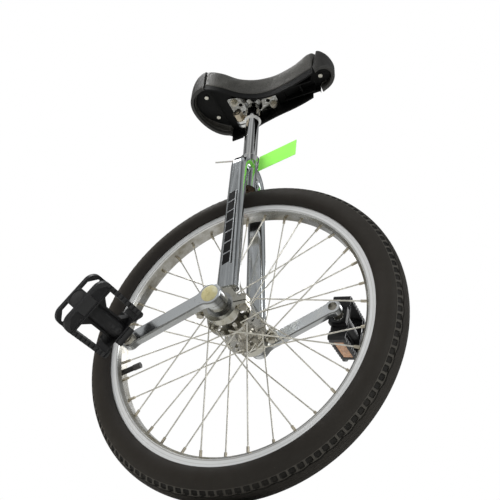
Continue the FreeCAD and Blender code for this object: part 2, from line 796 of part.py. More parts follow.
def pedal_teeth(label):
    """Grooves across the top and bottom faces of the two rails, which leave rows of teeth."""
    grooves = []
    for number in range(9):
        place_y = D.pedal_start + 12 + 8.5 * number
        for level in (1, -1):
            centre = (0, place_y, D.pedal_half_height * level)
            grooves.append(block(f"{label}_groove_{number}_{level + 1}", (90, 3.4, 3), centre))
    return grooves


def pedal_body(name, side):
    label = "pedal_body_" + name
    height = D.pedal_half_height * 2
    edge = D.pedal_half_width - D.rail_gauge
    length = D.pedal_end - D.pedal_start
    middle = D.pedal_start + length / 2
    hollow_start = D.pedal_start + 15
    hollow_end = D.pedal_end - 23
    hollow = block(label + "_hollow", (edge * 2, hollow_end - hollow_start, height + 4),
                   (0, (hollow_start + hollow_end) / 2, 0))
    ring = cut(label + "_ring", pedal_plan(label), [hollow])
    webs = block(label + "_webs", (edge * 2, hollow_end - hollow_start, D.web_half_height * 2),
                 (0, (hollow_start + hollow_end) / 2, 0))
    barrel = cone(label + "_barrel", D.barrel_outer + 1, D.barrel_outer - 1, length - 12,
                  (0, D.pedal_start - 0.4, 0), "Y")
    solid = fuse(label + "_solid", [ring, webs, barrel])
    pockets = []
    for number, face in enumerate((1, -1)):
        spot = (D.pedal_half_width * face, middle - 4, 0)
        pockets.append(block(f"{label}_pocket_{number}", (8, 54, 17), spot))
        pockets.append(block(f"{label}_gap_{number}", (30, 20, D.pedal_half_height * 2 - 10),
                             (27 * face, D.pedal_end - 9, 0)))
    bores = [
        cylinder(label + "_bore", D.spindle_radius + 1.4, length - 6, (0, D.pedal_start - 2, 0), "Y"),
        cylinder(label + "_race_in", D.spindle_radius + 4.2, 8, (0, D.pedal_start - 1, 0), "Y"),
        cylinder(label + "_race_out", D.spindle_radius + 4.2, 18, (0, D.pedal_end - 17, 0), "Y"),
    ]
    finished = cut(label + "_cut", solid,
                   [pedal_windows(label)] + pedal_teeth(label) + pockets + bores)
    node(place(finished, pedal_centre(side), pedal_turn(side)), label)


def pedal_fittings(name, side):
    middle = (D.pedal_end + D.pedal_start) / 2 - 4
    lenses = []
    for number, face in enumerate((1, -1)):
        centre = ((D.pedal_half_width - 2.2) * face, middle, 0)
        lenses.append(block(f"reflector_{name}_{number}", (3.4, 52, 15.6), centre))
    reflectors = group("reflectors_" + name, lenses)
    node(place(reflectors, pedal_centre(side), pedal_turn(side)), "pedal_reflectors_" + name)
    cap = turned("end_cap_" + name, [
        (0, D.pedal_end - 3), (D.spindle_radius + 4.2, D.pedal_end - 3),
        (D.spindle_radius + 4.2, D.pedal_end - 0.6), (2, D.pedal_end + 0.4, 60), (0, D.pedal_end + 0.4)],
        pedal_centre(side), pedal_turn(side))
    node(cap, "pedal_cap_" + name)
    balls = []
    circle = D.spindle_radius + D.pedal_ball_radius + D.running_gap
    for end, place_y in (("in", D.pedal_start + 3), ("out", D.pedal_end - 13)):
        balls += ball_ring(f"pedal_ball_{name}_{end}", 10, circle, D.pedal_ball_radius,
                           (sized(0), place_y, sized(0)))
    cage = group("pedal_ball_group_" + name, balls)
    node(place(cage, pedal_centre(side), pedal_turn(side)), "pedal_balls_" + name)


# ---- frame -------------------------------------------------------------------------------------

def leg_section(body, name, width, depth, offset, height, side, forward=0):
    """An oval with flat outer and inner faces, drawn level at a height above the axle."""
    flat = width - depth * 0.73
    return new_sketch(body, name, "XY_Plane", [
        (-flat, -depth, depth * 1.05), (flat, -depth), (flat, depth, depth * 1.05), (-flat, depth)],
        offset=(forward, offset * side, AXLE + height))


def fork_leg(name, side):
    label = "fork_leg_" + name
    body = new_body(label)
    foot = leg_section(body, label + "_foot", D.leg_foot_half_width, D.leg_foot_half_depth,
                       D.leg_foot_offset, D.leg_foot_height, side, D.leg_foot_forward)
    top = leg_section(body, label + "_top", D.leg_top_half_width, D.leg_top_half_depth,
                      D.leg_bend_offset, D.leg_bend_height, side)
    loft = body.newObject("PartDesign::AdditiveLoft", label + "_loft")
    loft.Profile = foot
    loft.Sections = [top]
    loft.Ruled = True
    centre_y = D.leg_bend_offset - D.leg_bend_radius
    path = body.newObject("Sketcher::SketchObject", label + "_path")
    path.AttachmentSupport = [(origin_item(body, "YZ_Plane"), "")]
    path.MapMode = "FlatFace"
    start = V((D.leg_bend_offset * side).number, (AXLE + D.leg_bend_height).number, 0)
    end = V((centre_y * side).number, (AXLE + D.leg_bend_height + D.leg_bend_radius).number, 0)
    path.addGeometry(arc_between(start, end, D.leg_bend_radius.number * side), False)
    first, last = (1, 2) if side > 0 else (2, 1)
    pin(path, "DistanceX", 0, first, D.leg_bend_offset * side, "bend_y")
    pin(path, "DistanceY", 0, first, AXLE + D.leg_bend_height, "bend_z")
    pin(path, "DistanceX", 0, last, centre_y * side, "tip_y")
    pin(path, "DistanceY", 0, last, AXLE + D.leg_bend_height + D.leg_bend_radius, "tip_z")
    bend = body.newObject("PartDesign::AdditivePipe", label + "_bend")
    bend.Profile = top
    bend.Spine = path
    cope = new_sketch(body, label + "_cope_profile", "XY_Plane", offset=(0, 0, AXLE + D.steerer_top))
    draw_circle(cope, sized(0), sized(0), D.steerer_radius)
    coping = body.newObject("PartDesign::Pocket", label + "_cope")
    coping.Profile = cope
    bind(coping, Length=D.steerer_top - D.steerer_base)
    wall = D.leg_wall
    floor = leg_section(body, label + "_floor", D.leg_foot_half_width - wall, D.leg_foot_half_depth - wall,
                        D.leg_foot_offset, D.leg_foot_height + 3, side, D.leg_foot_forward)
    ceiling = leg_section(body, label + "_ceiling", D.leg_top_half_width - wall,
                          D.leg_top_half_depth - wall, D.leg_bend_offset, D.leg_bend_height, side)
    hollow = body.newObject("PartDesign::SubtractiveLoft", label + "_hollow")
    hollow.Profile = floor
    hollow.Sections = [ceiling]
    hollow.Ruled = True
    hollow_bend = body.newObject("PartDesign::SubtractivePipe", label + "_hollow_bend")
    hollow_bend.Profile = ceiling
    hollow_bend.Spine = path
    node(body, label)


def steerer():
    height = D.steerer_top - D.steerer_base
    outside = cylinder("steerer_out", D.steerer_radius, height, (0, 0, AXLE + D.steerer_base))
    bore = cylinder("steerer_in", D.steerer_bore, height + 4, (0, 0, AXLE + D.steerer_base - 2))
    slot = block("steerer_slot", (20, 2, 26), (-D.steerer_radius, 0, AXLE + D.steerer_top - 4))
    node(cut("steerer_cut", outside, [bore, slot]), "steerer_tube")
    disc = cylinder("plug_disc", D.steerer_bore, 3, (0, 0, AXLE + D.steerer_base + 0.6))
    hole = cylinder("plug_hole", 2.2, 8, (0, 0, AXLE + D.steerer_base - 2))
    node(cut("plug_cut", disc, [hole]), "steerer_plug")


def split_clamp(label, outer, inner, base, top, lug_end, bolt_offset, bolt_height):
    """A split band round an upright tube, with two lugs behind and a bolt hole across them."""
    height = top - base
    band = cylinder(label + "_band", outer, height, (0, 0, base))
    lug = block(label + "_lug", (lug_end, 14, height - 2), (-lug_end / 2, 0, base + height / 2))
    nose = cylinder(label + "_nose", (height - 2) / 2, 14, (-lug_end, -7, base + height / 2), "Y")
    bore = cylinder(label + "_bore", inner, height + 4, (0, 0, base - 2))
    slot = block(label + "_slot", (lug_end * 2, 3, height + 4), (-lug_end - 4, 0, base + height / 2))
    hole = cylinder(label + "_hole", 3.05, 30, (-bolt_offset, -15, bolt_height), "Y")
    clear = cylinder(label + "_clear", 40, 20, (0, 0, top))
    return cut(label + "_cut", fuse(label + "_solid", [band, lug, nose]), [bore, slot, hole, clear])


def cross_bolt(label, offset, height, nut_flats, nut_length):
    """A bolt through a clamp's lugs: head on the left, nut on the right."""
    shank = cylinder(label + "_shank", 3, 18 + nut_length, (-offset, -9 - nut_length, height), "Y")
    head = hexagon(label + "_head", 10, 4, (-offset, 8.2, height), "Y")
    bolt = fuse(label + "_bolt", [shank, head])
    nut_start = (-offset, -8.2 - nut_length, height)
    nut_solid = hexagon(label + "_nut_solid", nut_flats, nut_length, nut_start, "Y")
    washer = cylinder(label + "_washer", nut_flats / 2, 1.2, (-offset, -8.2, height), "Y")
    bore = cylinder(label + "_nut_bore", 3, nut_length + 10, (-offset, -10 - nut_length, height), "Y")
    nut = cut(label + "_nut", fuse(label + "_nut_fuse", [nut_solid, washer]), [bore])
    return bolt, nut


def seat_collar():
    centre = AXLE + (D.collar_base + D.steerer_top) / 2
    clamp = split_clamp("collar", D.collar_radius, D.steerer_radius, AXLE + D.collar_base,
                        AXLE + D.steerer_top, D.collar_lug_end - 6, D.collar_lug_end - 5, centre)
    node(clamp, "seat_collar")
    bolt, nut = cross_bolt("collar_fixing", D.collar_lug_end - 5, centre, sized(10), sized(5))
    node(bolt, "collar_bolt")
    node(nut, "collar_nut")


def bearing_mounts():
    ring = D.bearing_radius
    gap = 0.8
    reach = root(ring * ring - sized(gap) * gap)
    shoulder = ring + 6.3
    holders = {}
    for name, side in SIDES:
        at = on_axle(D.bearing_centre * side)
        holder = new_body("holder_body_" + name, at)
        profile = new_sketch(holder, "holder_profile_" + name, "XZ_Plane", [
            (-reach, gap, ring), (-D.ear_end, gap), (-D.ear_end, 7.5), (-shoulder, 7.5),
            (-17, 22, -32), (-14, D.leg_foot_height), (14, D.leg_foot_height), (17, 22),
            (shoulder, 7.5, -32), (D.ear_end, 7.5), (D.ear_end, gap), (reach, gap),
            (0, ring, ring)])
        pad(holder, "holder_pad_" + name, profile, D.holder_half_width * 2, both_ways=True)
        cap = new_body("cap_body_" + name, at)
        under = new_sketch(cap, "cap_profile_" + name, "XZ_Plane", [
            (reach, -gap, ring), (D.ear_end, -gap), (D.ear_end, -6), (shoulder - 0.8, -6),
            (0, -ring - 6, -ring - 6), (-shoulder + 0.8, -6, -ring - 6), (-D.ear_end, -6),
            (-D.ear_end, -gap), (-reach, -gap), (0, -ring, ring)])
        pad(cap, "cap_pad_" + name, under, D.holder_half_width * 2, both_ways=True)
        holders[name] = (holder, cap)
    bolts = []
    nuts = []
    for name, side in SIDES:
        holes = []
        for end in (-1, 1):
            label = f"cap_fixing_{name}_{'rear' if end < 0 else 'front'}"
            x = D.cap_bolt_offset * end
            y = D.bearing_centre * side
            holes.append(cylinder(label + "_hole", D.cap_bolt_radius, 40, (x, y, AXLE - 20)))
            head = hexagon(label + "_head", 10, 4, (x, y, AXLE - 10))
            shank = cylinder(label + "_shank", D.cap_bolt_radius, 22, (x, y, AXLE - 8))
            bolts.append(fuse(label + "_bolt", [head, shank]))
            solid = hexagon(label + "_nut_solid", 10, 5, (x, y, AXLE + 7.5))
            bore = cylinder(label + "_nut_bore", D.cap_bolt_radius, 12, (x, y, AXLE + 5))
            nuts.append(cut(label + "_nut", solid, [bore]))
        holder, cap = holders[name]
        drill = fuse("ear_holes_" + name, holes)
        node(cut("holder_cut_" + name, holder, [drill]), "bearing_holder_" + name)
        node(cut("cap_cut_" + name, cap, [drill]), "bearing_cap_" + name)
    node(group("cap_bolts", bolts), "cap_bolts")
    node(group("cap_nuts", nuts), "cap_nuts")


def hang_tag():
    """A nylon tie looped round the seat post above the collar, and the blank tag that it holds."""
    height = AXLE + D.steerer_top + 1.2
    outside = cylinder("tie_out", D.tie_radius + 1.3, 3.6, (0, 0, height))
    inside = cylinder("tie_in", D.tie_radius, 10, (0, 0, height - 3))
    loop = cut("tie_loop", outside, [inside])
    lean = FreeCAD.Rotation(V(0, 0, 1), 196)
    start = V(-13.4, -2, 0)
    run = lean.multVec(V(1, 0, 0))
    tail_centre = start + run * 25
    head_centre = start + run * 3.4
    head = block("tie_head", (6, 5, 4.4), (head_centre.x, head_centre.y, height + 1.8), lean)
    tail = block("tie_tail", (50, 1, 3), (tail_centre.x, tail_centre.y, height + 1.8), lean)
    node(fuse("tie_fuse", [loop, head, tail]), "tag_tie")
    turn = FreeCAD.Rotation(V(0, 0, 1), -14).multiply(FreeCAD.Rotation(V(0, 1, 0), 4))
    middle = turn.multVec(V(18.8 + D.tag_length.number / 2, 4, 0))
    sheet = block("tag_sheet", (D.tag_length, 0.8, D.tag_height), (middle.x, middle.y, height - 21), turn)
    node(sheet, "hang_tag")


# ---- seat post and saddle ----------------------------------------------------------------------

def seat_post():
    height = D.post_top - D.post_base
    outside = cylinder("post_out", D.post_radius, height, (0, 0, AXLE + D.post_base))
    bore = cylinder("post_in", D.post_bore, height + 4, (0, 0, AXLE + D.post_base - 2))
    slot = block("post_slot", (16, 2, 40), (-D.post_radius, 0, AXLE + D.post_top - 10))
    node(cut("post_cut", outside, [bore, slot]), "seat_post")
    clamp = split_clamp("clamp", D.band_radius, D.post_radius, AXLE + D.band_base,
                        AXLE + D.post_top - 1, D.clamp_bolt_offset - 1, D.clamp_bolt_offset,
                        AXLE + D.clamp_bolt_height)
    node(clamp, "saddle_clamp")
    bolt, nut = cross_bolt("clamp_fixing", D.clamp_bolt_offset, AXLE + D.clamp_bolt_height,
                           sized(16), sized(15))
    node(bolt, "clamp_bolt")
    node(nut, "clamp_nut")


def plate_bolts():
    """Places of the four bolts that hold the bracket to the saddle base."""
    return [(-33, 20), (-33, -20), (37, 12), (37, -12)]


def saddle_bracket():
    base = AXLE + D.plate_base
    body = new_body("plate_body", (0, 0, base))
    profile = new_sketch(body, "plate_profile", "XY_Plane", [
        (-40, -31, 4), (-18, -24, 40), (18, -20), (44, -22), (48, -18, 4), (48, 18),
        (44, 22, 4), (18, 20), (-18, 24), (-40, 31, 40), (-44, 27, 4), (-44, -27)])
    pad(body, "plate_pad", profile, D.plate_gauge)
    stem = cylinder("stem_out", D.stem_radius, D.plate_base + 3 - D.stem_base, (0, 0, AXLE + D.stem_base))
    skirt = cone("stem_skirt", D.stem_radius, D.stem_radius + 6, 6, (0, 0, base - 6))
    holes = [cylinder("stem_in", D.stem_radius - 1.8, 70, (0, 0, AXLE + D.stem_base - 2))]
    for number, (x, y) in enumerate(plate_bolts()):
        holes.append(cylinder(f"plate_hole_{number}", 3, 12, (x, y, base - 4)))
    for number, (x, y) in enumerate([(-33, 0), (-24, 10), (-24, -10), (30, 0)]):
        holes.append(cylinder(f"plate_window_{number}", 4, 12, (x, y, base - 4)))
    node(cut("bracket_cut", fuse("bracket_solid", [body, stem, skirt]), holes), "saddle_bracket")
    bolts = []
    for number, (x, y) in enumerate(plate_bolts()):
        washer = cylinder(f"plate_washer_{number}", 7.5, 1.2, (x, y, base - 1.2))
        nut = hexagon(f"plate_nut_{number}", 10, 5, (x, y, base - 6.2))
        shank = cylinder(f"plate_shank_{number}", 3, 14.3, (x, y, base - 8.5))
        bolts.append(fuse(f"plate_bolt_{number}", [washer, nut, shank]))
    node(group("bracket_bolts", bolts), "bracket_bolts")


def saddle_plan(name, inset):
    """The saddle's outline from above: a round rear, hollow flanks and a narrow round nose."""
    rear = D.rear_radius - inset
    nose = D.nose_radius - inset
    flank = D.flank_radius + inset
    tangent_x = rear * cosine(D.flank_angle) - D.rear_centre
    tangent_y = rear * sine(D.flank_angle)
    waist_x = (D.rear_radius + D.flank_radius) * cosine(D.flank_angle) - D.rear_centre
    body = new_body(name, (0, 0, AXLE + 400))
    profile = new_sketch(body, name + "_profile", "XY_Plane", [
        (-D.rear_centre - rear, 0, rear),
        (tangent_x, -tangent_y, rear),
        (waist_x, -nose, -flank),
        (D.nose_centre, -nose),
        (D.nose_centre + nose, 0, nose),
        (D.nose_centre, nose, nose),
        (waist_x, nose),
        (tangent_x, tangent_y, -flank),
    ])
    pad(body, name + "_pad", profile, 250)
    return body


def saddle_side(name, outline):
    """A band across the whole saddle, from its outline in side view, heights above the axle."""
    body = new_body(name, on_axle())
    profile = new_sketch(body, name + "_profile", "XZ_Plane", outline)
    pad(body, name + "_pad", profile, 200, both_ways=True)
    return body


LOWER_EDGE = [(-138, 520), (-85, 502, 130), (25, 464.5, 230), (140, 498.5, 210), (168, 508)]
TOP_EDGE = [(168, 530), (150, 553, 40), (116, 558, 36), (35, 529, -118), (-60, 555, -193), (-85, 561, 80),
            (-138, 536, 62)]
DECK_EDGE = [(168, 516), (118, 510, 90), (10, 494.3, -335), (-82, 524, -160), (-138, 531.5, 90)]
DECK_UNDERSIDE = [(168, 513), (118, 507, 90), (10, 491.3, -335), (-80, 520.5, -160), (-138, 528, 90)]
SEAM_EDGE = [(-160, 540), (-72, 505, 190), (22, 477, 190), (113, 500.5, 190), (170, 530, 190)]


def saddle():
    outer = common("saddle_outer", saddle_plan("plan_outer", sized(0)),
                   saddle_side("side_outer", LOWER_EDGE + TOP_EDGE))
    wall = saddle_plan("plan_bumper", D.bumper_gauge)
    rear_zone = block("rear_zone", (200, 300, 400), (-D.rear_seam - 100, 0, AXLE + 347))
    front_zone = block("front_zone", (200, 300, 400), (D.front_seam + 100, 0, AXLE + 347))
    rear = cut("rear_bumper", common("rear_part", outer, rear_zone), [wall])
    front = cut("front_bumper", common("front_part", outer, front_zone), [wall])
    envelope = common("base_envelope", saddle_plan("plan_base", D.wrap_gauge),
                      saddle_side("side_base", LOWER_EDGE + DECK_EDGE))
    cavity = common("base_cavity", saddle_plan("plan_cavity", D.wrap_gauge + D.skirt_gauge),
                    saddle_side("side_cavity", [(-138, 440), (168, 440)] + DECK_UNDERSIDE))
    bosses = []
    shafts = []
    for number, (x, y) in enumerate(plate_bolts()):
        low = AXLE + D.plate_base + D.plate_gauge
        bosses.append(cylinder(f"base_boss_{number}", 8, 10, (x, y, low)))
        shafts.append(cylinder(f"base_shaft_{number}", 3, 8.4, (x, y, low - 5.5)))
    ribs = []
    for number, side in enumerate((1, -1)):
        ribs.append(block(f"base_rib_{number}", (60, 2.4, 22), (92, 12 * side, AXLE + 497)))
        ribs.append(block(f"base_cross_rib_{number}", (2.4, 46, 16), (62 + 36 * number, 0, AXLE + 499)))
    inside = common("rib_space", fuse("base_ribs", ribs), cavity)
    tab = block("base_tab", (25, 3.4, 17), (-65, 64.2, AXLE + 492), FreeCAD.Rotation(V(0, 0, 1), -3))
    notch = block("base_notch", (15, 14, 30), (122, D.nose_radius, AXLE + 482))
    shell = cut("base_shell", envelope, [cavity, rear, front, notch])
    screws = screw_places()
    holes = [cylinder(f"screw_hole_{n}", 2, 8, (x, y, AXLE + z)) for n, (x, y, z) in enumerate(screws)]
    under_deck = saddle_side("side_boss", LOWER_EDGE + DECK_EDGE)
    bossed = common("boss_space", fuse("base_bosses", bosses), under_deck)
    solid = fuse("saddle_base_solid", [shell, inside, tab, bossed])
    base = cut("saddle_base_cut", solid, shafts + holes + [rear, front])
    node(base, "saddle_base")
    above_seam = saddle_side("side_cover", SEAM_EDGE + [(170, 620), (-160, 620)])
    cushion = cut("cover_cut", common("cover_block", outer, above_seam), [envelope, rear, front, tab])
    node(cushion, "saddle_cover")
    node(rear, "rear_bumper")
    node(front, "front_bumper")
    fixings = []
    for number, (x, y, z) in enumerate(screws):
        head = cylinder(f"screw_head_{number}", 4, 2.4, (x, y, AXLE + z - 2.4))
        shank = cylinder(f"screw_shank_{number}", 2, 3.6, (x, y, AXLE + z))
        fixings.append(fuse(f"screw_{number}", [head, shank]))
    node(group("base_screws", fixings), "base_screws")


def screw_places():
    return [(-94, 27, 524.5), (-94, -27, 524.5), (137, 0, 511.7)]


# ---- assembly ----------------------------------------------------------------------------------

def build():
    tyre()
    inner_tube()
    rim()
    rim_strip()
    rim_joint()
    valve()
    lacing()
    hub()
    axle()
    axle_collars()
    bearings()
    for name, side in SIDES:
        crank(name, side)
        pedal_spindle(name, side)
        pedal_body(name, side)
        pedal_fittings(name, side)
        fork_leg(name, side)
    crank_fasteners()
    bearing_mounts()
    steerer()
    seat_collar()
    hang_tag()
    seat_post()
    saddle_bracket()
    saddle()


def check():
    """Stop on any failed object or empty or invalid shape."""
    DOC.recompute()
    for item in DOC.Objects:
        if "Invalid" in item.State or "Error" in item.State:
            raise RuntimeError(f"{item.Name} ({item.Label}) failed: {item.State}")
    for item in NODES:
        if item.Shape.isNull() or not item.Shape.isValid():
            raise RuntimeError(f"{item.Label} has no valid shape")


def write():
    os.makedirs("parts", exist_ok=True)
    for item in NODES:
        item.Shape.exportStep(f"parts/{item.Label}.step")
        box = item.Shape.BoundBox
        print(f"{item.Label:24s} {len(item.Shape.Solids):3d} solids {item.Shape.Volume / 1000:9.2f} cm3 "
              f"x {box.XMin:7.1f} {box.XMax:7.1f} y {box.YMin:7.1f} {box.YMax:7.1f} "
              f"z {box.ZMin:7.1f} {box.ZMax:7.1f}")


build()
check()
write()
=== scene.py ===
import math
import bpy
import bmesh
import numpy as np
from mathutils import Matrix, Vector, noise


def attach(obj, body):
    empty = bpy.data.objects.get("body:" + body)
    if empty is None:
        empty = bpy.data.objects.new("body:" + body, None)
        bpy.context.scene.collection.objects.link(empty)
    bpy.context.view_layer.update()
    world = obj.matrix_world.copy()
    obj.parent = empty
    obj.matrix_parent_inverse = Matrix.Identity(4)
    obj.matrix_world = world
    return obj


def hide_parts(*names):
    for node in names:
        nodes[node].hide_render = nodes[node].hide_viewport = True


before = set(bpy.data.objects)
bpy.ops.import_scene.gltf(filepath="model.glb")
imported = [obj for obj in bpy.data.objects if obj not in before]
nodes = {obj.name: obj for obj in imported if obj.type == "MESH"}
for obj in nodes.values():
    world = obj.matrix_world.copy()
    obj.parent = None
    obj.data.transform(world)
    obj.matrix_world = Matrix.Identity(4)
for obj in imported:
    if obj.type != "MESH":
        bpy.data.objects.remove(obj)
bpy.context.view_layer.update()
MM = 0.001
AXLE_MM = 247
AXLE = AXLE_MM * MM
MIX_FACTOR, MIX_FIRST, MIX_SECOND = 0, 6, 7


# ---- node materials ------------------------------------------------------------------------------

def fill_ramp(ramp, stops):
    """Give a ramp its (position, grey or colour) stops."""
    while len(ramp.elements) < len(stops):
        ramp.elements.new(0.5)
    for element, (at, shade) in zip(ramp.elements, stops):
        element.position = at
        element.color = (*shade, 1) if isinstance(shade, tuple) else (shade, shade, shade, 1)


class Shade:
    """A node material being put together."""

    def __init__(self, name, colour, rough=0.5, metal=0.0, **sockets):
        self.material = bpy.data.materials.new(name)
        self.material.use_nodes = True
        self.tree = self.material.node_tree
        self.bsdf = self.tree.nodes["Principled BSDF"]
        self.bsdf.inputs["Base Color"].default_value = (*colour, 1)
        self.bsdf.inputs["Roughness"].default_value = rough
        self.bsdf.inputs["Metallic"].default_value = metal
        for socket, value in sockets.items():
            self.bsdf.inputs[socket.replace("_", " ")].default_value = value
        self.place = self.tree.nodes.new("ShaderNodeTexCoord").outputs["Object"]
        self.colour = None
        self.base = colour

    def feed(self, socket, value):
        """Link a node's output to a socket, or set the socket to a plain value."""
        if hasattr(value, "is_output"):
            self.tree.links.new(value, socket)
        else:
            socket.default_value = value

    def add(self, kind, **inputs):
        item = self.tree.nodes.new("ShaderNode" + kind)
        for key, value in inputs.items():
            self.feed(item.inputs[key.replace("_", " ")], value)
        return item

    def noise(self, scale, detail=3.0, rough=0.55, place=None):
        item = self.add("TexNoise", Vector=place or self.place, Scale=scale, Detail=detail,
                        Roughness=rough)
        return item.outputs["Fac"]

    def cells(self, scale, feature):
        item = self.add("TexVoronoi", Vector=self.place, Scale=scale)
        item.feature = feature
        return item.outputs["Distance"]

    def steps(self, value, *stops):
        """A ramp through (position, grey) stops."""
        item = self.add("ValToRGB", Fac=value)
        fill_ramp(item.color_ramp, stops)
        return item.outputs["Color"]

    def math(self, operation, *values):
        item = self.add("Math")
        item.operation = operation
        for socket, value in zip(item.inputs, values):
            self.feed(socket, value)
        return item.outputs[0]

    def times(self, first, second):
        return self.math("MULTIPLY", first, second)

    def range(self, value, low, high):
        """How far a value is from low to high, as 0 to 1."""
        return self.add("MapRange", Value=value, From_Min=low, From_Max=high).outputs[0]

    def blend(self, first, second, factor):
        item = self.add("Mix")
        item.data_type = "RGBA"
        for index, value in ((MIX_FACTOR, factor), (MIX_FIRST, first), (MIX_SECOND, second)):
            self.feed(item.inputs[index], (*value, 1) if isinstance(value, tuple) else value)
        return item.outputs[2]

    def tint(self, colour, factor):
        """Lay a colour over what is there by a factor."""
        self.colour = self.blend(self.colour or self.base, colour, factor)
        self.tree.links.new(self.colour, self.bsdf.inputs["Base Color"])

    def roughness(self, value, low, high):
        item = self.add("MapRange", Value=value, To_Min=low, To_Max=high)
        self.tree.links.new(item.outputs[0], self.bsdf.inputs["Roughness"])

    def metallic(self, value):
        self.tree.links.new(value, self.bsdf.inputs["Metallic"])

    def bump(self, height, distance, strength=1.0):
        item = self.add("Bump", Height=height, Distance=distance, Strength=strength)
        before = self.bsdf.inputs["Normal"].links
        if before:
            self.tree.links.new(before[0].from_socket, item.inputs["Normal"])
        self.tree.links.new(item.outputs["Normal"], self.bsdf.inputs["Normal"])

    def axle_distance(self):
        """Distance from the axle line, in metres."""
        x, _, z = self.add("SeparateXYZ", Vector=self.place).outputs
        height = self.math("SUBTRACT", z, AXLE)
        return self.math("SQRT", self.math("ADD", self.times(x, x), self.times(height, height)))

    def edges(self):
        """Where the surface is convex."""
        return self.steps(self.add("NewGeometry").outputs["Pointiness"], (0.5, 0.0), (0.56, 1.0))


def chrome(name, colour, rough, dirt, rust_scale=260.0, reflection_bands=0.0, under_shade=0.0):
    """Plated steel with haze and brown specks, pale and dark bands along its height that are a painted
    reflection, and painted shade on the faces that point down.
    """
    shade = Shade(name, colour, rough, 1.0)
    # Painted reflection: pale and dark bands stretched along the height stand in for the surround the
    # chrome reflects.
    if reflection_bands:
        stretched_place = shade.add("Mapping", Vector=shade.place, Scale=(1, 1, 0.04)).outputs[0]
        pale = shade.noise(260, 3, 0.6, stretched_place)
        shade.tint((0.95, 0.97, 0.98), shade.steps(pale, (0.5, 0.0), (0.7, reflection_bands)))
        dark = shade.noise(190, 3, 0.6, stretched_place)
        shade.tint((0.16, 0.16, 0.15), shade.steps(dark, (0.55, 0.0), (0.72, reflection_bands)))
    # Painted shade: faces that point down in world space are darkened, whatever way the part is turned.
    if under_shade:
        faces = shade.add("NewGeometry").outputs["Normal"]
        down = shade.times(shade.add("SeparateXYZ", Vector=faces).outputs[2], -1.0)
        under = shade.steps(down, (0.15, 0.0), (0.45, under_shade), (0.85, under_shade), (0.97, under_shade * 0.35))
        shade.tint((0.1, 0.1, 0.09), under)
    haze = shade.noise(34, 4)
    shade.roughness(haze, rough * 0.55, rough * 1.6)
    specks = shade.noise(rust_scale, 5, 0.7)
    patch = shade.noise(16, 2)
    spotted = shade.times(shade.steps(specks, (0.6, 0.0), (0.68, 1.0)),
                          shade.steps(patch, (0.45, 0.0), (0.62, dirt)))
    shade.tint((0.17, 0.11, 0.06), spotted)
    shade.bump(shade.noise(420, 3), 0.00004, 0.5)
    return shade.material


def steel(name, colour, rough):
    """Dull metal with cloudy darker patches."""
    shade = Shade(name, colour, rough, 1.0)
    tone = shade.noise(90, 4)
    shade.tint(tuple(c * 0.62 for c in colour), shade.steps(tone, (0.42, 0.0), (0.66, 0.7)))
    shade.roughness(shade.noise(160, 3), rough * 0.7, min(1.0, rough * 1.5))
    shade.bump(shade.noise(600, 2), 0.00005, 0.4)
    return shade.material


def plastic(name, colour, rough, grain=900.0, depth=0.00006, wear=0.3, shine=0.3):
    """Moulded plastic with a fine grain, scuffs and paler edges."""
    shade = Shade(name, colour, rough, 0.0, Specular_IOR_Level=shine)
    scuffed = tuple(c * 2.2 + 0.02 for c in colour)
    rubbed = tuple(c * 3 + 0.05 for c in colour)
    shade.tint(scuffed, shade.steps(shade.noise(55, 6, 0.7), (0.52, 0.0), (0.75, wear)))
    shade.tint(rubbed, shade.times(shade.edges(), wear))
    shade.roughness(shade.noise(140, 4), rough * 0.8, min(1.0, rough * 1.25))
    shade.bump(shade.noise(grain, 2), depth)
    return shade.material


def tyre_material(name, colour):
    """Worn rubber: cloudy, darker by the rim, paler at the crown, with dust specks."""
    shade = Shade(name, colour, 0.66, 0.0, Specular_IOR_Level=0.3)
    away = shade.axle_distance()
    cloud = shade.noise(22, 5, 0.6)
    shade.tint((0.04, 0.035, 0.029), shade.steps(cloud, (0.4, 0.0), (0.75, 0.55)))
    near_rim = shade.steps(shade.range(away, 0.2095, 0.234), (0.0, 1.0), (0.45, 0.55), (1.0, 0.0))
    shade.tint((0.012, 0.009, 0.007), shade.times(near_rim, 0.7))
    crown = shade.steps(shade.range(away, 0.241, AXLE), (0.1, 0.0), (1.0, 0.5))
    scraped = shade.steps(shade.noise(240, 4), (0.35, 0.2), (0.7, 1.0))
    shade.tint((0.055, 0.05, 0.043), shade.times(crown, scraped))
    specks = shade.noise(520, 3, 0.6)
    shade.tint((0.2, 0.18, 0.15), shade.steps(specks, (0.7, 0.0), (0.76, 0.4)))
    shade.roughness(shade.noise(70, 4), 0.5, 0.78)
    shade.bump(shade.noise(1300, 2), 0.00005)
    shade.bump(shade.noise(60, 3), 0.0003, 0.4)
    return shade.material


def vinyl_material():
    """Black leather-cloth: a fine pebbled grain, pale dusty wear in patches."""
    shade = Shade("vinyl", (0.06, 0.057, 0.05), 0.45, 0.0, Specular_IOR_Level=0.45)
    cells = shade.cells(620, "SMOOTH_F1")
    worn = shade.noise(18, 5, 0.65)
    shade.tint((0.11, 0.105, 0.092), shade.steps(worn, (0.4, 0.0), (0.7, 0.7)))
    streak = shade.noise(130, 4, 0.7)
    shade.tint((0.2, 0.19, 0.17), shade.steps(streak, (0.58, 0.0), (0.76, 0.4)))
    shade.tint((0.015, 0.014, 0.012), shade.steps(cells, (0.42, 0.0), (0.75, 0.7)))
    shade.roughness(shade.noise(45, 4), 0.34, 0.55)
    shade.bump(cells, 0.00032, 0.9)
    shade.bump(shade.noise(90, 4), 0.0006, 0.45)
    return shade.material


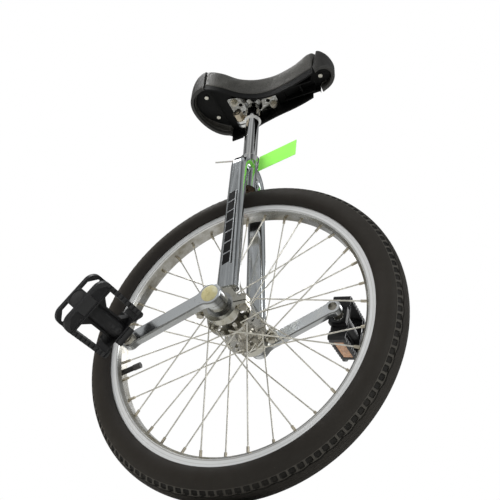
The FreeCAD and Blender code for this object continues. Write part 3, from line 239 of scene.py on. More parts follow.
def rim_material():
    """Pale, only slightly metallic sides that are a painted highlight on the bright plating, with brown
    lines at their edges, a darker bed, and patches of rust.
    """
    shade = Shade("rim_plating", (0.97, 0.975, 0.975), 0.2, 0.4)
    away = shade.axle_distance()
    across = shade.range(away, 0.193, 0.2095)
    edges = shade.steps(across, (0.3, 0.0), (0.35, 0.8), (0.42, 0.1), (0.88, 0.0), (0.96, 0.6))
    shade.tint((0.2, 0.18, 0.14), edges)
    shade.tint((0.45, 0.44, 0.4), shade.steps(across, (0.6, 0.0), (0.64, 0.5), (0.68, 0.0)))
    bed = shade.steps(across, (0.2, 1.0), (0.3, 0.0))
    stained = shade.steps(shade.noise(30, 4), (0.3, 0.5), (0.65, 1.0))
    shade.tint((0.27, 0.25, 0.2), shade.times(bed, stained))
    # Painted highlight: the pale sides are only slightly metallic, so the lamps light them bright; the
    # bed stays fully metallic.
    shade.metallic(shade.steps(across, (0.25, 0.97), (0.36, 0.3)))
    cloud = shade.noise(9, 4, 0.6)
    fine = shade.noise(300, 5, 0.75)
    rust = shade.times(shade.steps(cloud, (0.52, 0.0), (0.66, 1.0)),
                       shade.steps(fine, (0.57, 0.0), (0.68, 0.7)))
    shade.tint((0.3, 0.2, 0.09), rust)
    shade.roughness(shade.noise(60, 4), 0.14, 0.3)
    shade.bump(shade.noise(140, 3), 0.00003, 0.4)
    return shade.material


def cream_material():
    """Yellowed plastic, stained in spots."""
    shade = Shade("cream_cap", (0.62, 0.56, 0.3), 0.35)
    shade.tint((0.33, 0.27, 0.1), shade.steps(shade.noise(150, 5, 0.7), (0.5, 0.0), (0.74, 0.75)))
    shade.tint((0.8, 0.78, 0.58), shade.steps(shade.noise(60, 3), (0.52, 0.0), (0.7, 0.7)))
    shade.bump(shade.noise(500, 3), 0.00005)
    return shade.material


def rust_material():
    """Steel that has rusted all over."""
    shade = Shade("rusty_steel", (0.12, 0.085, 0.055), 0.8, 0.3)
    shade.tint((0.2, 0.11, 0.05), shade.steps(shade.noise(190, 6, 0.7), (0.45, 0.0), (0.65, 0.9)))
    shade.tint((0.04, 0.035, 0.03), shade.steps(shade.noise(80, 3), (0.5, 0.0), (0.7, 0.8)))
    shade.bump(shade.noise(700, 5, 0.7), 0.0003)
    return shade.material


def reflector_material():
    """Amber plastic with a moulded prism grid."""
    shade = Shade("reflector", (0.5, 0.2, 0.05), 0.22, 0.0, Coat_Weight=0.4, Coat_Roughness=0.1)
    cell = shade.cells(300, "F1")
    shade.tint((0.85, 0.46, 0.25), shade.steps(cell, (0.1, 0.0), (0.7, 0.75)))
    shade.tint((0.2, 0.07, 0.02), shade.steps(shade.noise(70, 3), (0.5, 0.0), (0.7, 0.5)))
    shade.bump(cell, 0.0004)
    return shade.material


def tag_material():
    """Bright green card with a faint painted glow."""
    # Painted light: a faint green emission makes the card glow, though it is no lamp.
    shade = Shade("green_card", (0.33, 1.0, 0.13), 0.6, 0.0, Specular_IOR_Level=0.2,
                  Emission_Strength=0.08, Emission_Color=(0.36, 1.0, 0.14, 1))
    shade.tint((0.36, 0.95, 0.14), shade.steps(shade.noise(28, 3), (0.42, 0.0), (0.68, 0.7)))
    shade.bump(shade.noise(900, 4), 0.00005, 0.5)
    return shade.material


def nylon_material():
    """Translucent white nylon."""
    shade = Shade("nylon", (0.5, 0.5, 0.48), 0.35, 0.0, Subsurface_Weight=0.2)
    shade.tint((0.6, 0.57, 0.5), shade.steps(shade.noise(220, 3), (0.5, 0.0), (0.72, 0.6)))
    shade.bump(shade.noise(800, 2), 0.00004)
    return shade.material


def paint(node, material):
    """Give a node one material all over."""
    node.data.materials.clear()
    node.data.materials.append(material)
    for face in node.data.polygons:
        face.material_index = 0


# The bracket chrome's dark colour is partly painted shade for its place in the saddle's hollow, and its
# bands are a painted reflection.
BRACKET_CHROME = chrome("bracket_chrome", (0.27, 0.265, 0.245), 0.12, 0.9, 150, reflection_bands=0.6)
# The leg chrome's pale and dark bands are a painted reflection.
LEG_CHROME = chrome("leg_chrome", (0.56, 0.58, 0.59), 0.13, 0.5, reflection_bands=0.55)
POST_CHROME = chrome("post_chrome", (0.74, 0.74, 0.73), 0.06, 0.55)
# The crank chrome gets painted shade on its downward faces.
CRANK_CHROME = chrome("crank_chrome", (0.9, 0.92, 0.93), 0.16, 0.6, under_shade=0.85)
HOLDER_CHROME = chrome("holder_chrome", (0.56, 0.54, 0.47), 0.15, 0.9, 150)
HUB_CHROME = chrome("hub_chrome", (0.64, 0.62, 0.57), 0.16, 0.8, 180)
SPOKE_STEEL = steel("spoke_steel", (0.9, 0.87, 0.78), 0.4)
NIPPLE_BRASS = steel("nipple_brass", (0.66, 0.6, 0.48), 0.36)
BOLT_STEEL = steel("bolt_steel", (0.5, 0.47, 0.4), 0.3)
BEARING_STEEL = steel("bearing_steel", (0.6, 0.6, 0.58), 0.2)
BRASS = steel("clamp_brass", (0.6, 0.52, 0.4), 0.26)
SCREW_STEEL = steel("screw_steel", (0.72, 0.7, 0.62), 0.4)
RIM = rim_material()
TYRE = tyre_material("tyre_rubber", (0.027, 0.023, 0.018))
# Painted shade and highlight: a darker copy of the rubber for the tread's hollows, a lighter copy for the
# raised faces on the shoulders.
TREAD_HOLLOW_SHADE = tyre_material("tread_hollow_shade", (0.01, 0.009, 0.007))
TREAD_RIB_HIGHLIGHT = tyre_material("tread_rib_highlight", (0.085, 0.078, 0.066))
INNER_RUBBER = plastic("inner_rubber", (0.03, 0.03, 0.03), 0.7)
VALVE_RUBBER = plastic("valve_rubber", (0.026, 0.025, 0.024), 0.5, 1200, 0.00004, 0.4)
PEDAL_BLACK = plastic("pedal_black", (0.006, 0.006, 0.0065), 0.42, 1100, 0.00005, 0.35)
CAP_GREY = plastic("cap_grey", (0.035, 0.034, 0.034), 0.5)
BASE_BLACK = plastic("base_black", (0.002, 0.002, 0.0019), 0.5, 800, 0.00006, 0.07, 0.14)
BUMPER_GREY = plastic("bumper_grey", (0.02, 0.019, 0.017), 0.5, 700, 0.00014, 0.4)
VINYL = vinyl_material()
CREAM = cream_material()
RUST = rust_material()
AMBER = reflector_material()
CARD = tag_material()
NYLON = nylon_material()

FINISHES = {
    LEG_CHROME: "fork_leg_left fork_leg_right steerer_tube",
    POST_CHROME: "seat_post seat_collar saddle_clamp",
    BRACKET_CHROME: "saddle_bracket",
    CRANK_CHROME: "crank_left crank_right",
    HOLDER_CHROME: "bearing_holder_left bearing_holder_right bearing_cap_left bearing_cap_right",
    HUB_CHROME: "hub_barrel hub_flanges",
    SPOKE_STEEL: "spokes_left spokes_right",
    NIPPLE_BRASS: "spoke_nipples",
    BOLT_STEEL: "cap_bolts cap_nuts crank_bolts collar_bolt collar_nut clamp_bolt bracket_bolts hub_axle "
                "axle_collars pedal_spindle_left pedal_spindle_right rim_joint_sleeve",
    BEARING_STEEL: "bearing_inner_rings bearing_outer_rings bearing_shields bearing_balls "
                   "pedal_balls_left pedal_balls_right",
    BRASS: "clamp_nut",
    SCREW_STEEL: "base_screws",
    RIM: "rim",
    TYRE: "tyre",
    INNER_RUBBER: "inner_tube rim_strip",
    VALVE_RUBBER: "valve_stem valve_cap",
    PEDAL_BLACK: "pedal_body_left pedal_body_right",
    CAP_GREY: "pedal_cap_left pedal_cap_right",
    BASE_BLACK: "saddle_base",
    BUMPER_GREY: "rear_bumper front_bumper",
    VINYL: "saddle_cover",
    CREAM: "dust_caps",
    RUST: "steerer_plug",
    AMBER: "pedal_reflectors_left pedal_reflectors_right",
    CARD: "hang_tag",
    NYLON: "tag_tie",
}
for material, names in FINISHES.items():
    for name in names.split():
        paint(nodes[name], material)


# ---- mesh helpers --------------------------------------------------------------------------------

def on_object(x, y, z):
    """A place in metres, from millimetres along X and Y and above the axle."""
    return (x * MM, y * MM, AXLE + z * MM)


def piece(name, points, faces, *materials, slot, smooth=True):
    """A new mesh piece with its materials. The slot argument is not used."""
    mesh = bpy.data.meshes.new(name)
    mesh.from_pydata([tuple(p) for p in points], [], faces)
    mesh.validate()
    made = bpy.data.objects.new(name, mesh)
    bpy.context.scene.collection.objects.link(made)
    for material in materials:
        mesh.materials.append(material)
    if smooth:
        mesh.polygons.foreach_set("use_smooth", [True] * len(mesh.polygons))
    return made


def tidy_mesh(made):
    """Merge doubled points and turn every face outwards."""
    work = bmesh.new()
    work.from_mesh(made.data)
    bmesh.ops.remove_doubles(work, verts=work.verts, dist=0.00002)
    bmesh.ops.recalc_face_normals(work, faces=work.faces)
    work.to_mesh(made.data)
    work.free()


# ---- tyre ----------------------------------------------------------------------------------------

TREAD_PERIODS = 64
STEPS_PER_PERIOD = 16
SECTION_RADIUS = 23.2
BEAD = ((209.7, 10.8), (203.5, 10.6), (203.5, -10.6), (209.7, -10.8))
PLAIN, HOLLOW, RIB = 0, 1, 2


def tread_cut(side, phase):
    """How deep the tyre is cut, at degrees from the crown and at a share of one period of the tread."""
    wave = 34 + 2.2 * math.cos(2 * math.pi * phase)
    if side < 27:
        rib = abs((side / 6.0) % 1.0 - 0.5)
        return 0.8 * max(0.0, 1 - rib / 0.22)
    if abs(side - wave) < 2.1:
        return 1.5 * (1 - (abs(side - wave) / 2.1) ** 2)
    if wave < side < 58:
        pocket = (phase * 2 + 0.25) % 1.0
        inside = 0.0 < min(pocket, 1 - pocket) - 0.2
        return 1.5 if inside and 40.5 < side < 56 else 0.0
    if 83.4 < side < 85.2:
        return -0.35
    return 0.35 if side >= 59 else 0.0


def tyre_piece():
    """The casing with its tread: shoulder pockets in pairs, a wavy groove, and ribs at the crown."""
    around = TREAD_PERIODS * STEPS_PER_PERIOD
    centre = AXLE_MM - SECTION_RADIUS
    angles = [*np.linspace(-134, -62, 16)[:-1], *np.linspace(-62, 62, 71), *np.linspace(62, 134, 16)[1:]]
    points = []
    tones = []
    for step in range(around):
        turn = 2 * math.pi * step / around
        phase = (step % STEPS_PER_PERIOD) / STEPS_PER_PERIOD
        section = []
        for degrees in angles:
            side = abs(degrees)
            cut = tread_cut(side, phase)
            angle = math.radians(degrees)
            section.append((centre + (SECTION_RADIUS - cut) * math.cos(angle),
                            (SECTION_RADIUS - cut) * math.sin(angle)))
            tones.append(HOLLOW if cut > 0.9 else RIB if 36.2 < side < 59 else PLAIN)
        tones += [PLAIN] * len(BEAD)
        for reach, across in (*section, *BEAD):
            points.append(on_object(reach * math.cos(turn), across, reach * math.sin(turn)))
    row = len(angles) + len(BEAD)
    faces = []
    looks = []
    for step in range(around):
        following = (step + 1) % around
        for index in range(row):
            after = (index + 1) % row
            face = (step * row + index, step * row + after,
                    following * row + after, following * row + index)
            faces.append(face)
            here = [tones[corner] for corner in face]
            looks.append(HOLLOW if here.count(HOLLOW) >= 2 else RIB if here.count(RIB) >= 3 else PLAIN)
    # Hollow faces take the painted-shade rubber, raised shoulder faces the painted-highlight rubber.
    made = piece("tyre_casing", points, faces, TYRE, TREAD_HOLLOW_SHADE, TREAD_RIB_HIGHLIGHT, slot="tyre_rubber")
    made.data.polygons.foreach_set("material_index", looks)
    tidy_mesh(made)
    made.data.set_sharp_from_angle(angle=math.radians(42))
    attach(made, "wheel")
    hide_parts("tyre")


tyre_piece()


# ---- saddle --------------------------------------------------------------------------------------

def arc_chain(corners, step):
    """Points along (x, z, radius) corners: the radius is the arc's from the corner before."""
    path = [corners[0][:2]]
    for before, corner in zip(corners, corners[1:]):
        a = Vector(before[:2])
        b = Vector(corner[:2])
        if len(corner) < 3:
            path.append(tuple(b))
            continue
        radius = corner[2]
        half = (b - a).length / 2
        normal = Vector((-(b - a).y, (b - a).x)).normalized()
        away = math.sqrt(max(radius * radius - half * half, 0))
        centre = (a + b) / 2 + normal * math.copysign(away, radius)
        first = math.atan2(a.y - centre.y, a.x - centre.x)
        last = math.atan2(b.y - centre.y, b.x - centre.x)
        sweep = (last - first + math.pi) % (2 * math.pi) - math.pi
        count = max(2, int(abs(sweep * radius) / step))
        for index in range(1, count + 1):
            angle = first + sweep * index / count
            path.append((centre.x + abs(radius) * math.cos(angle),
                         centre.y + abs(radius) * math.sin(angle)))
    return path


def height_line(corners):
    """Height above the axle against x, for a chain of arcs."""
    path = sorted(arc_chain(corners, 1.5))
    return [p[0] for p in path], [p[1] for p in path]


LOWER = height_line([(-138, 520), (-85, 502, 130), (25, 464.5, 230), (140, 498.5, 210), (168, 508)])
TOP = height_line([(168, 530), (150, 554, 40), (116, 561.5, 36), (35, 530, -118), (-60, 553.5, -193),
                   (-85, 561, 80), (-138, 536, 62)])
DECK = height_line([(168, 516), (118, 510, 90), (10, 494.3, -335), (-82, 524, -160), (-138, 531.5, 90)])
SEAM = height_line([(-160, 540), (-72, 505, 190), (22, 477, 190), (113, 500.5, 190), (170, 530, 190)])
REAR_RADIUS, REAR_X = 67, -68
NOSE_RADIUS, NOSE_X = 26.5, 137
FLANK_RADIUS, FLANK_ANGLE = 156.9, math.radians(55)
CROWN = 16.0
REAR_SEAM, FRONT_SEAM = -78, 130


def height(line, x):
    return float(np.interp(x, line[0], line[1]))


def saddle_outline(step):
    """Points round the saddle seen from above, from the rear by the left side to the nose and back."""
    points = []
    turn = math.pi - FLANK_ANGLE
    count = int(REAR_RADIUS * turn / step)
    for index in range(count):
        angle = math.pi - turn * index / count
        points.append((REAR_X + REAR_RADIUS * math.cos(angle), REAR_RADIUS * math.sin(angle)))
    waist_x = REAR_X + (REAR_RADIUS + FLANK_RADIUS) * math.cos(FLANK_ANGLE)
    waist_y = (REAR_RADIUS + FLANK_RADIUS) * math.sin(FLANK_ANGLE)
    turn = math.pi / 2 - FLANK_ANGLE
    count = int(FLANK_RADIUS * turn / step)
    for index in range(count):
        angle = math.pi + FLANK_ANGLE + turn * index / count
        points.append((waist_x + FLANK_RADIUS * math.cos(angle),
                       waist_y + FLANK_RADIUS * math.sin(angle)))
    count = int((NOSE_X - waist_x) / step)
    for index in range(count):
        points.append((waist_x + (NOSE_X - waist_x) * index / count, NOSE_RADIUS))
    count = int(NOSE_RADIUS * math.pi / 2 / step)
    for index in range(count + 1):
        angle = math.pi / 2 * (1 - index / count)
        points.append((NOSE_X + NOSE_RADIUS * math.cos(angle), NOSE_RADIUS * math.sin(angle)))
    return points + [(x, -y) for x, y in points[-2:0:-1]]


def spine_at(x):
    """The nearest point of the line down the saddle's middle."""
    return Vector((min(max(x, REAR_X), NOSE_X), 0))


def cushion_block(name, shrink):
    """A closed solid: underside, skirt, wall up from the seam, rounded shoulder and crowned top."""
    outline = saddle_outline(4.0)
    skirt = 1.6
    power = 3.0
    rings = []

    def ring(share, level, inset=0.0):
        made = []
        for x, y in outline:
            spine = spine_at(x)
            edge = Vector((x, y))
            inward = (spine - edge).normalized()
            at = edge + inward * (inset + shrink(x))
            at = spine + (at - spine) * share
            made.append((at.x, at.y, level(at.x)))
        rings.append(made)

    for share in (0.0, 0.35, 0.7, 1.0):
        ring(share, lambda x: height(DECK, x) + 0.6, skirt)
    ring(1.0, lambda x: (height(DECK, x) + height(SEAM, x)) / 2, skirt)
    ring(1.0, lambda x: height(SEAM, x), skirt)
    for index in range(5):
        part = index / 5
        ring(1.0, lambda x: height(SEAM, x) + (height(TOP, x) - CROWN - height(SEAM, x)) * part)
    for index in range(13):
        angle = math.pi / 2 * index / 12
        share = math.cos(angle) ** (2 / power) if index < 12 else 0.0
        drop = CROWN * (1 - math.sin(angle) ** (2 / power))
        ring(share, lambda x: height(TOP, x) - 1.2 - drop)
    points = [on_object(*point) for made in rings for point in made]
    count = len(outline)
    faces = []
    for level in range(len(rings) - 1):
        for index in range(count):
            after = (index + 1) % count
            faces.append((level * count + index, level * count + after,
                          (level + 1) * count + after, (level + 1) * count + index))
    made = piece(name, points, faces, VINYL, slot="vinyl")
    tidy_mesh(made)
    return made


def apply_modifiers(made):
    """Make the modifiers' result the piece's own mesh."""
    graph = bpy.context.evaluated_depsgraph_get()
    mesh = bpy.data.meshes.new_from_object(made.evaluated_get(graph))
    made.modifiers.clear()
    made.data = mesh


def puff(made, pinned, cap):
    """Blow up a closed piece as cloth under pressure, and cap how far each point goes."""
    last_frame = 20
    before = np.array([v.co[:] for v in made.data.vertices])
    group = made.vertex_groups.new(name="held")
    for index, weight in enumerate(pinned):
        group.add([index], weight, "REPLACE")
    cloth = made.modifiers.new("puff", "CLOTH")
    settings = cloth.settings
    settings.quality = 6
    settings.mass = 0.3
    settings.tension_stiffness = 12
    settings.compression_stiffness = 12
    settings.shear_stiffness = 5
    settings.bending_stiffness = 0.8
    settings.use_pressure = True
    settings.uniform_pressure_force = 4.0
    settings.vertex_group_mass = "held"
    settings.effector_weights.gravity = 0
    cloth.collision_settings.use_collision = False
    cloth.point_cache.frame_start = 1
    cloth.point_cache.frame_end = last_frame
    scene = bpy.context.scene
    for number in range(1, last_frame + 1):
        scene.frame_set(number)
    graph = bpy.context.evaluated_depsgraph_get()
    after = np.array([v.co[:] for v in made.evaluated_get(graph).data.vertices])
    made.modifiers.clear()
    scene.frame_set(1)
    move = after - before
    far = np.linalg.norm(move, axis=1, keepdims=True)
    move *= np.minimum(1.0, cap / np.maximum(far, 1e-9))
    made.data.vertices.foreach_set("co", (before + move).ravel())
    made.vertex_groups.clear()
    made.data.update()


def cushion():
    """The vinyl cover over its foam, puffed between the two bumpers."""
    def shrink(x):
        """Further in under the bumpers."""
        depth = max(REAR_SEAM - x, x - FRONT_SEAM)
        return 1.0 + 6.6 * min(1.0, max(0.0, (depth + 1.0) / 2.5))

    made = cushion_block("saddle_cushion", shrink)
    pinned = []
    for vertex in made.data.vertices:
        x, y, z = (c / MM for c in vertex.co)
        from_ends = min(x - REAR_SEAM, FRONT_SEAM - x)
        above = z - AXLE_MM - height(SEAM, x)
        weight = 1.0 if above < 1.5 or from_ends < 1 else max(0.0, 1 - min(from_ends / 9, above / 8))
        if z - AXLE_MM < height(DECK, x) + 1.0 and abs(y) < 60:
            weight = 1.0
        pinned.append(weight)
    puff(made, pinned, 2.4 * MM)
    for vertex in made.data.vertices:
        dimple = noise.noise(vertex.co * 38) * 0.35 * MM
        x, y, z = (c / MM for c in vertex.co)
        if z - AXLE_MM > height(SEAM, x) + 3 and min(x - REAR_SEAM, FRONT_SEAM - x) > 2:
            vertex.co += vertex.normal * dimple
    finish = made.modifiers.new("smooth", "SUBSURF")
    finish.levels = 1
    finish.render_levels = 1
    apply_modifiers(made)
    made.data.polygons.foreach_set("use_smooth", [True] * len(made.data.polygons))
    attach(made, "saddle")
    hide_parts("saddle_cover")


LIP = [(6.4, 0.9), (5.6, 0.0), (0.7, 0.0), (-0.3, 0.8), (-0.6, 2.6)]
SHOULDER = [(-0.6, 0), (-0.45, 0), (-0.1, 0), (0.5, 0), (1.4, 0), (2.6, 0), (4.2, 0), (6.2, 0), (8.4, 0),
            (9.4, 1.4), (8.4, 3.4), (6.4, 4.6)]


def bumper_section():
    """The bumper's closed section, as (kind, share of the wall's height, inset, rise or drop)."""
    section = [("wall", 0, inset, rise) for inset, rise in LIP]
    section += [("wall", share, -0.6, 2.6) for share in (0.2, 0.4, 0.6, 0.8)]
    section += [("over", 1.0, inset, drop) for inset, drop in SHOULDER]
    section += [("inner", share, 6.4, 0.9) for share in (0.7, 0.45, 0.2)]
    return section


def bumper(name, replaced, seam, columns):
    """A moulded shell round one end of the saddle, with its shoulder turned in over the cushion."""
    front = math.copysign(1, seam)
    outline = saddle_outline(0.5)
    if front < 0:
        half = len(outline) // 2
        outline = outline[half:] + outline[:half]
    run = [0.0]
    for a, b in zip(outline, outline[1:]):
        run.append(run[-1] + math.dist(a, b))
    xs = [p[0] for p in outline]
    ys = [p[1] for p in outline]
    tip = max(range(len(outline)), key=lambda i: xs[i] * front)
    length = run[tip]

    def start(share):
        """How far along the outline the seam lies, at a share of the wall's height."""
        limit = seam
        if front > 0:
            limit = seam + (15 * max(0.0, (share - 0.5) / 0.5) ** 2 + 3 * max(0.0, 0.25 - share) / 0.25)
        for index in range(tip + 1):
            if (xs[index] - limit) * front >= 0:
                return run[index]
        return length

    section = bumper_section()
    rows = []
    for column in range(2 * columns + 1):
        along = column / columns
        row = []
        for kind, share, inset, rise in section:
            first = start(min(1.0, 0.86 + 0.14 * inset / 9) if kind == "over" else share)
            place = first + (length - first) * (along if along <= 1 else 2 - along)
            x = float(np.interp(place, run, xs))
            y = float(np.interp(place, run, ys)) * (1 if along <= 1 else -1)
            spine = spine_at(x)
            edge = Vector((x, y))
            low = height(LOWER, x)
            brim = height(TOP, x) - CROWN
            if kind == "wall":
                level = low + rise + (brim - low - rise) * share
            elif kind == "inner":
                level = low + rise + (brim + 4 - low) * share
            else:
                part = 1 - (inset + 0.6) / ((spine - edge).length + 0.6)
                level = brim + CROWN * max(0.0, 1 - part ** 3) ** (1 / 3) - rise
            at = edge + (spine - edge).normalized() * inset
            row.append(on_object(at.x, at.y, level))
        rows.append(row)
    size = len(section)
    points = [point for row in rows for point in row]
    faces = [tuple(range(size)), tuple(range(len(points) - 1, len(points) - size - 1, -1))]
    for row in range(len(rows) - 1):
        for index in range(size):
            after = (index + 1) % size
            faces.append((row * size + index, row * size + after,
                          (row + 1) * size + after, (row + 1) * size + index))
    made = piece(name, points, faces, BUMPER_GREY, slot="saddle_plastic")
    tidy_mesh(made)
    made.data.set_sharp_from_angle(angle=math.radians(50))
    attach(made, "saddle")
    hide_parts(replaced)


cushion()
bumper("rear_bumper_shell", "rear_bumper", REAR_SEAM, 44)
bumper("front_bumper_shell", "front_bumper", FRONT_SEAM, 28)


# ---- the graphic on the right fork leg -----------------------------------------------------------

BLACK, SILVER = 0, 1
BAR_FOOT = 66
BAR_COUNT = 7
BAR_PITCH = 21.4
BAR_SLANT = 5.0
EDGE_LIFT, FACE_LIFT, STRIPE_LIFT, UNDER_LIFT = 0.07, 0.22, 0.2, 0.02


def on_leg(spot, lift):
    """The place on the right fork leg's outer face at (x, height above the axle), lifted off it."""
    start = Vector((spot.x * MM, -0.2, AXLE + spot.y * MM))
    _, at, normal, _ = nodes["fork_leg_right"].ray_cast(start, Vector((0, 1, 0)))
    return at + normal * lift * MM


def leg_patch(points, faces, looks, corners, lift, look, columns, rows):
    """A four-cornered patch laid on the leg as a thin closed sheet."""
    first = len(points)
    left_foot, right_foot, right_head, left_head = (Vector(corner) for corner in corners)
    for layer in (lift, UNDER_LIFT):
        for row in range(rows + 1):
            for column in range(columns + 1):
                low = left_foot.lerp(right_foot, column / columns)
                high = left_head.lerp(right_head, column / columns)
                points.append(on_leg(low.lerp(high, row / rows), layer))
    wide = columns + 1
    size = wide * (rows + 1)
    for row in range(rows):
        for column in range(columns):
            a = first + row * wide + column
            faces.append((a, a + 1, a + wide + 1, a + wide))
            faces.append((a + size, a + wide + size, a + wide + 1 + size, a + 1 + size))
            looks += [look, look]
    rim = [first + c for c in range(columns)]
    rim += [first + r * wide + columns for r in range(rows)]
    rim += [first + rows * wide + c for c in range(columns, 0, -1)]
    rim += [first + r * wide for r in range(rows, 0, -1)]
    for a, b in zip(rim, rim[1:] + rim[:1]):
        faces.append((a, a + size, b + size, b))
        looks.append(look)


def leg_graphic():
    """Slanted black bars with thin pale borders, and a dark stripe beside them."""
    black = plastic("graphic_black", (0.002, 0.002, 0.002), 0.4, 900, 0.00003, 0.03, 0.12)
    silver = steel("graphic_silver", (0.85, 0.87, 0.88), 0.3)
    points, faces, looks = [], [], []

    def patch(corners, lift, look, columns, rows):
        leg_patch(points, faces, looks, corners, lift, look, columns, rows)

    for number in range(BAR_COUNT):
        low = BAR_FOOT + BAR_PITCH * number
        high = low + BAR_PITCH - 0.6
        shift = 3.4 - 0.55 * number
        left, right = shift - 7.2, shift + 6.0
        patch([(left, low), (right, low + BAR_SLANT), (right, high + BAR_SLANT), (left, high)],
              EDGE_LIFT, SILVER, 10, 4)
        patch([(left + 0.8, low + 0.8), (right - 0.8, low + BAR_SLANT + 0.6),
               (right - 0.8, high + BAR_SLANT - 0.8), (left + 0.8, high - 0.6)], FACE_LIFT, BLACK, 10, 4)
    top = BAR_FOOT + BAR_PITCH * BAR_COUNT + 3
    patch([(10.6, BAR_FOOT), (14.0, BAR_FOOT), (9.4, top), (6.0, top)], EDGE_LIFT, SILVER, 4, 24)
    patch([(11.1, BAR_FOOT + 1), (13.5, BAR_FOOT + 1), (8.9, top - 1), (6.5, top - 1)],
          STRIPE_LIFT, BLACK, 4, 24)
    made = piece("leg_graphic", points, faces, black, silver, slot="pedal_plastic", smooth=False)
    made.data.polygons.foreach_set("material_index", looks)
    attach(made, "frame")


leg_graphic()


# ---- floor, light and camera ---------------------------------------------------------------------

def floor():
    """The ground, clear from below because the camera looks up from under its level."""
    size = 4.0
    corners = [(-size, -size, 0), (size, -size, 0), (size, size, 0), (-size, size, 0)]
    mesh = bpy.data.meshes.new("floor")
    mesh.from_pydata(corners, [], [(0, 1, 2, 3)])
    made = bpy.data.objects.new("floor", mesh)
    bpy.context.scene.collection.objects.link(made)
    material = bpy.data.materials.new("floor")
    material.use_nodes = True
    tree = material.node_tree
    bsdf = tree.nodes["Principled BSDF"]
    bsdf.inputs["Base Color"].default_value = (0.6, 0.6, 0.59, 1)
    bsdf.inputs["Roughness"].default_value = 0.9
    clear = tree.nodes.new("ShaderNodeBsdfTransparent")
    facing = tree.nodes.new("ShaderNodeNewGeometry")
    mixed = tree.nodes.new("ShaderNodeMixShader")
    tree.links.new(facing.outputs["Backfacing"], mixed.inputs[0])
    tree.links.new(bsdf.outputs[0], mixed.inputs[1])
    tree.links.new(clear.outputs[0], mixed.inputs[2])
    tree.links.new(mixed.outputs[0], tree.nodes["Material Output"].inputs["Surface"])
    mesh.materials.append(material)


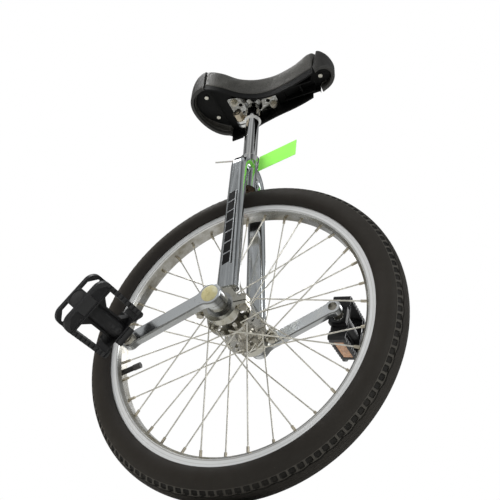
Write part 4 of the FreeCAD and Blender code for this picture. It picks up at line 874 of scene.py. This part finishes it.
def sky():
    """White where the camera looks, and light and dark bands for the chrome to reflect."""
    world = bpy.data.worlds.new("sky")
    bpy.context.scene.world = world
    world.use_nodes = True
    tree = world.node_tree
    place = tree.nodes.new("ShaderNodeTexCoord").outputs["Generated"]
    parts = tree.nodes.new("ShaderNodeSeparateXYZ")
    tree.links.new(place, parts.inputs[0])
    turn = tree.nodes.new("ShaderNodeMath")
    turn.operation = "ARCTAN2"
    tree.links.new(parts.outputs[1], turn.inputs[0])
    tree.links.new(parts.outputs[0], turn.inputs[1])
    span = tree.nodes.new("ShaderNodeMapRange")
    span.inputs["From Min"].default_value = -math.pi
    span.inputs["From Max"].default_value = math.pi
    tree.links.new(turn.outputs[0], span.inputs["Value"])
    bands = tree.nodes.new("ShaderNodeValToRGB")
    levels = [(0.0, 0.45), (0.07, 0.06), (0.13, 0.5), (0.2, 0.75), (0.27, 0.5), (0.31, 1.0),
              (0.35, 0.3), (0.39, 0.06), (0.43, 0.45), (0.5, 0.7), (0.58, 0.75), (0.66, 0.1),
              (0.74, 0.6), (0.83, 0.9), (0.9, 0.2), (1.0, 0.45)]
    fill_ramp(bands.color_ramp, [(at, (level * 0.98, level, level * 1.01)) for at, level in levels])
    tree.links.new(span.outputs[0], bands.inputs[0])
    upward = tree.nodes.new("ShaderNodeValToRGB")
    rise = upward.color_ramp
    for at, level in ((0.86, 0.0), (0.93, 0.35), (0.98, 1.0)):
        element = rise.elements.new(at)
        element.color = (level, level, level, 1)
    lift = tree.nodes.new("ShaderNodeMapRange")
    lift.inputs["From Min"].default_value = -1
    tree.links.new(parts.outputs[2], lift.inputs["Value"])
    tree.links.new(lift.outputs[0], upward.inputs[0])
    mixed = tree.nodes.new("ShaderNodeMix")
    mixed.data_type = "RGBA"
    mixed.inputs[MIX_SECOND].default_value = (0.9, 0.92, 0.93, 1)
    tree.links.new(upward.outputs[0], mixed.inputs[MIX_FACTOR])
    tree.links.new(bands.outputs[0], mixed.inputs[MIX_FIRST])
    around = tree.nodes["Background"]
    tree.links.new(mixed.outputs[2], around.inputs[0])
    around.inputs[1].default_value = 0.62
    plain = tree.nodes.new("ShaderNodeBackground")
    plain.inputs[0].default_value = (1, 1, 1, 1)
    seen = tree.nodes.new("ShaderNodeLightPath")
    choice = tree.nodes.new("ShaderNodeMixShader")
    tree.links.new(seen.outputs["Is Camera Ray"], choice.inputs[0])
    tree.links.new(around.outputs[0], choice.inputs[1])
    tree.links.new(plain.outputs[0], choice.inputs[2])
    tree.links.new(choice.outputs[0], tree.nodes["World Output"].inputs[0])


def lamp(name, place, target, size, power, colour=(1, 1, 1), mirrored=True):
    """An area light aimed at a target, unseen by the camera."""
    light = bpy.data.lights.new(name, "AREA")
    light.shape = "RECTANGLE"
    light.size, light.size_y = size
    light.energy = power
    light.color = colour
    made = bpy.data.objects.new(name, light)
    made.location = place
    made.rotation_euler = (Vector(target) - Vector(place)).to_track_quat("-Z", "Y").to_euler()
    made.visible_camera = False
    made.visible_glossy = mirrored
    bpy.context.scene.collection.objects.link(made)


def camera():
    """The photo's camera: below the axle, ahead and to the right, looking up at the saddle."""
    azimuth, elevation, roll = math.radians(26.95), math.radians(-36.8), math.radians(3.8)
    distance = 0.8496
    target = Vector((0.0394, -0.0526, 0.3336))
    back = Vector((math.sin(azimuth) * math.cos(elevation), -math.cos(azimuth) * math.cos(elevation),
                   math.sin(elevation)))
    right = Vector((math.cos(azimuth), math.sin(azimuth), 0))
    up = back.cross(right)
    turned_right = right * math.cos(roll) + up * math.sin(roll)
    turned_up = up * math.cos(roll) - right * math.sin(roll)
    data = bpy.data.cameras.new("camera")
    data.lens = 42.13
    data.sensor_width = 36
    made = bpy.data.objects.new("camera", data)
    turned = Matrix((turned_right, turned_up, back)).transposed().to_4x4()
    made.matrix_world = Matrix.Translation(target + back * distance) @ turned
    bpy.context.scene.collection.objects.link(made)
    bpy.context.scene.camera = made


floor()
sky()
lamp("key", (-1.7, -0.7, 1.6), (0, 0, 0.45), (0.9, 0.9), 42, (1, 0.99, 0.97), False)
lamp("side", (1.5, -0.9, 0.7), (0, 0, 0.3), (0.5, 1.4), 8, (0.96, 0.98, 1))
lamp("low", (0.1, -1.4, -0.7), (0, 0, 0.2), (1.2, 0.8), 4)
lamp("top", (-0.72, -0.4, 2.1), (0, 0, 0.7), (0.6, 0.6), 9)
lamp("back", (0.2, 1.5, 1.1), (0, 0, 0.4), (1.4, 0.6), 9)
camera()
bpy.context.scene.view_settings.view_transform = "Standard"
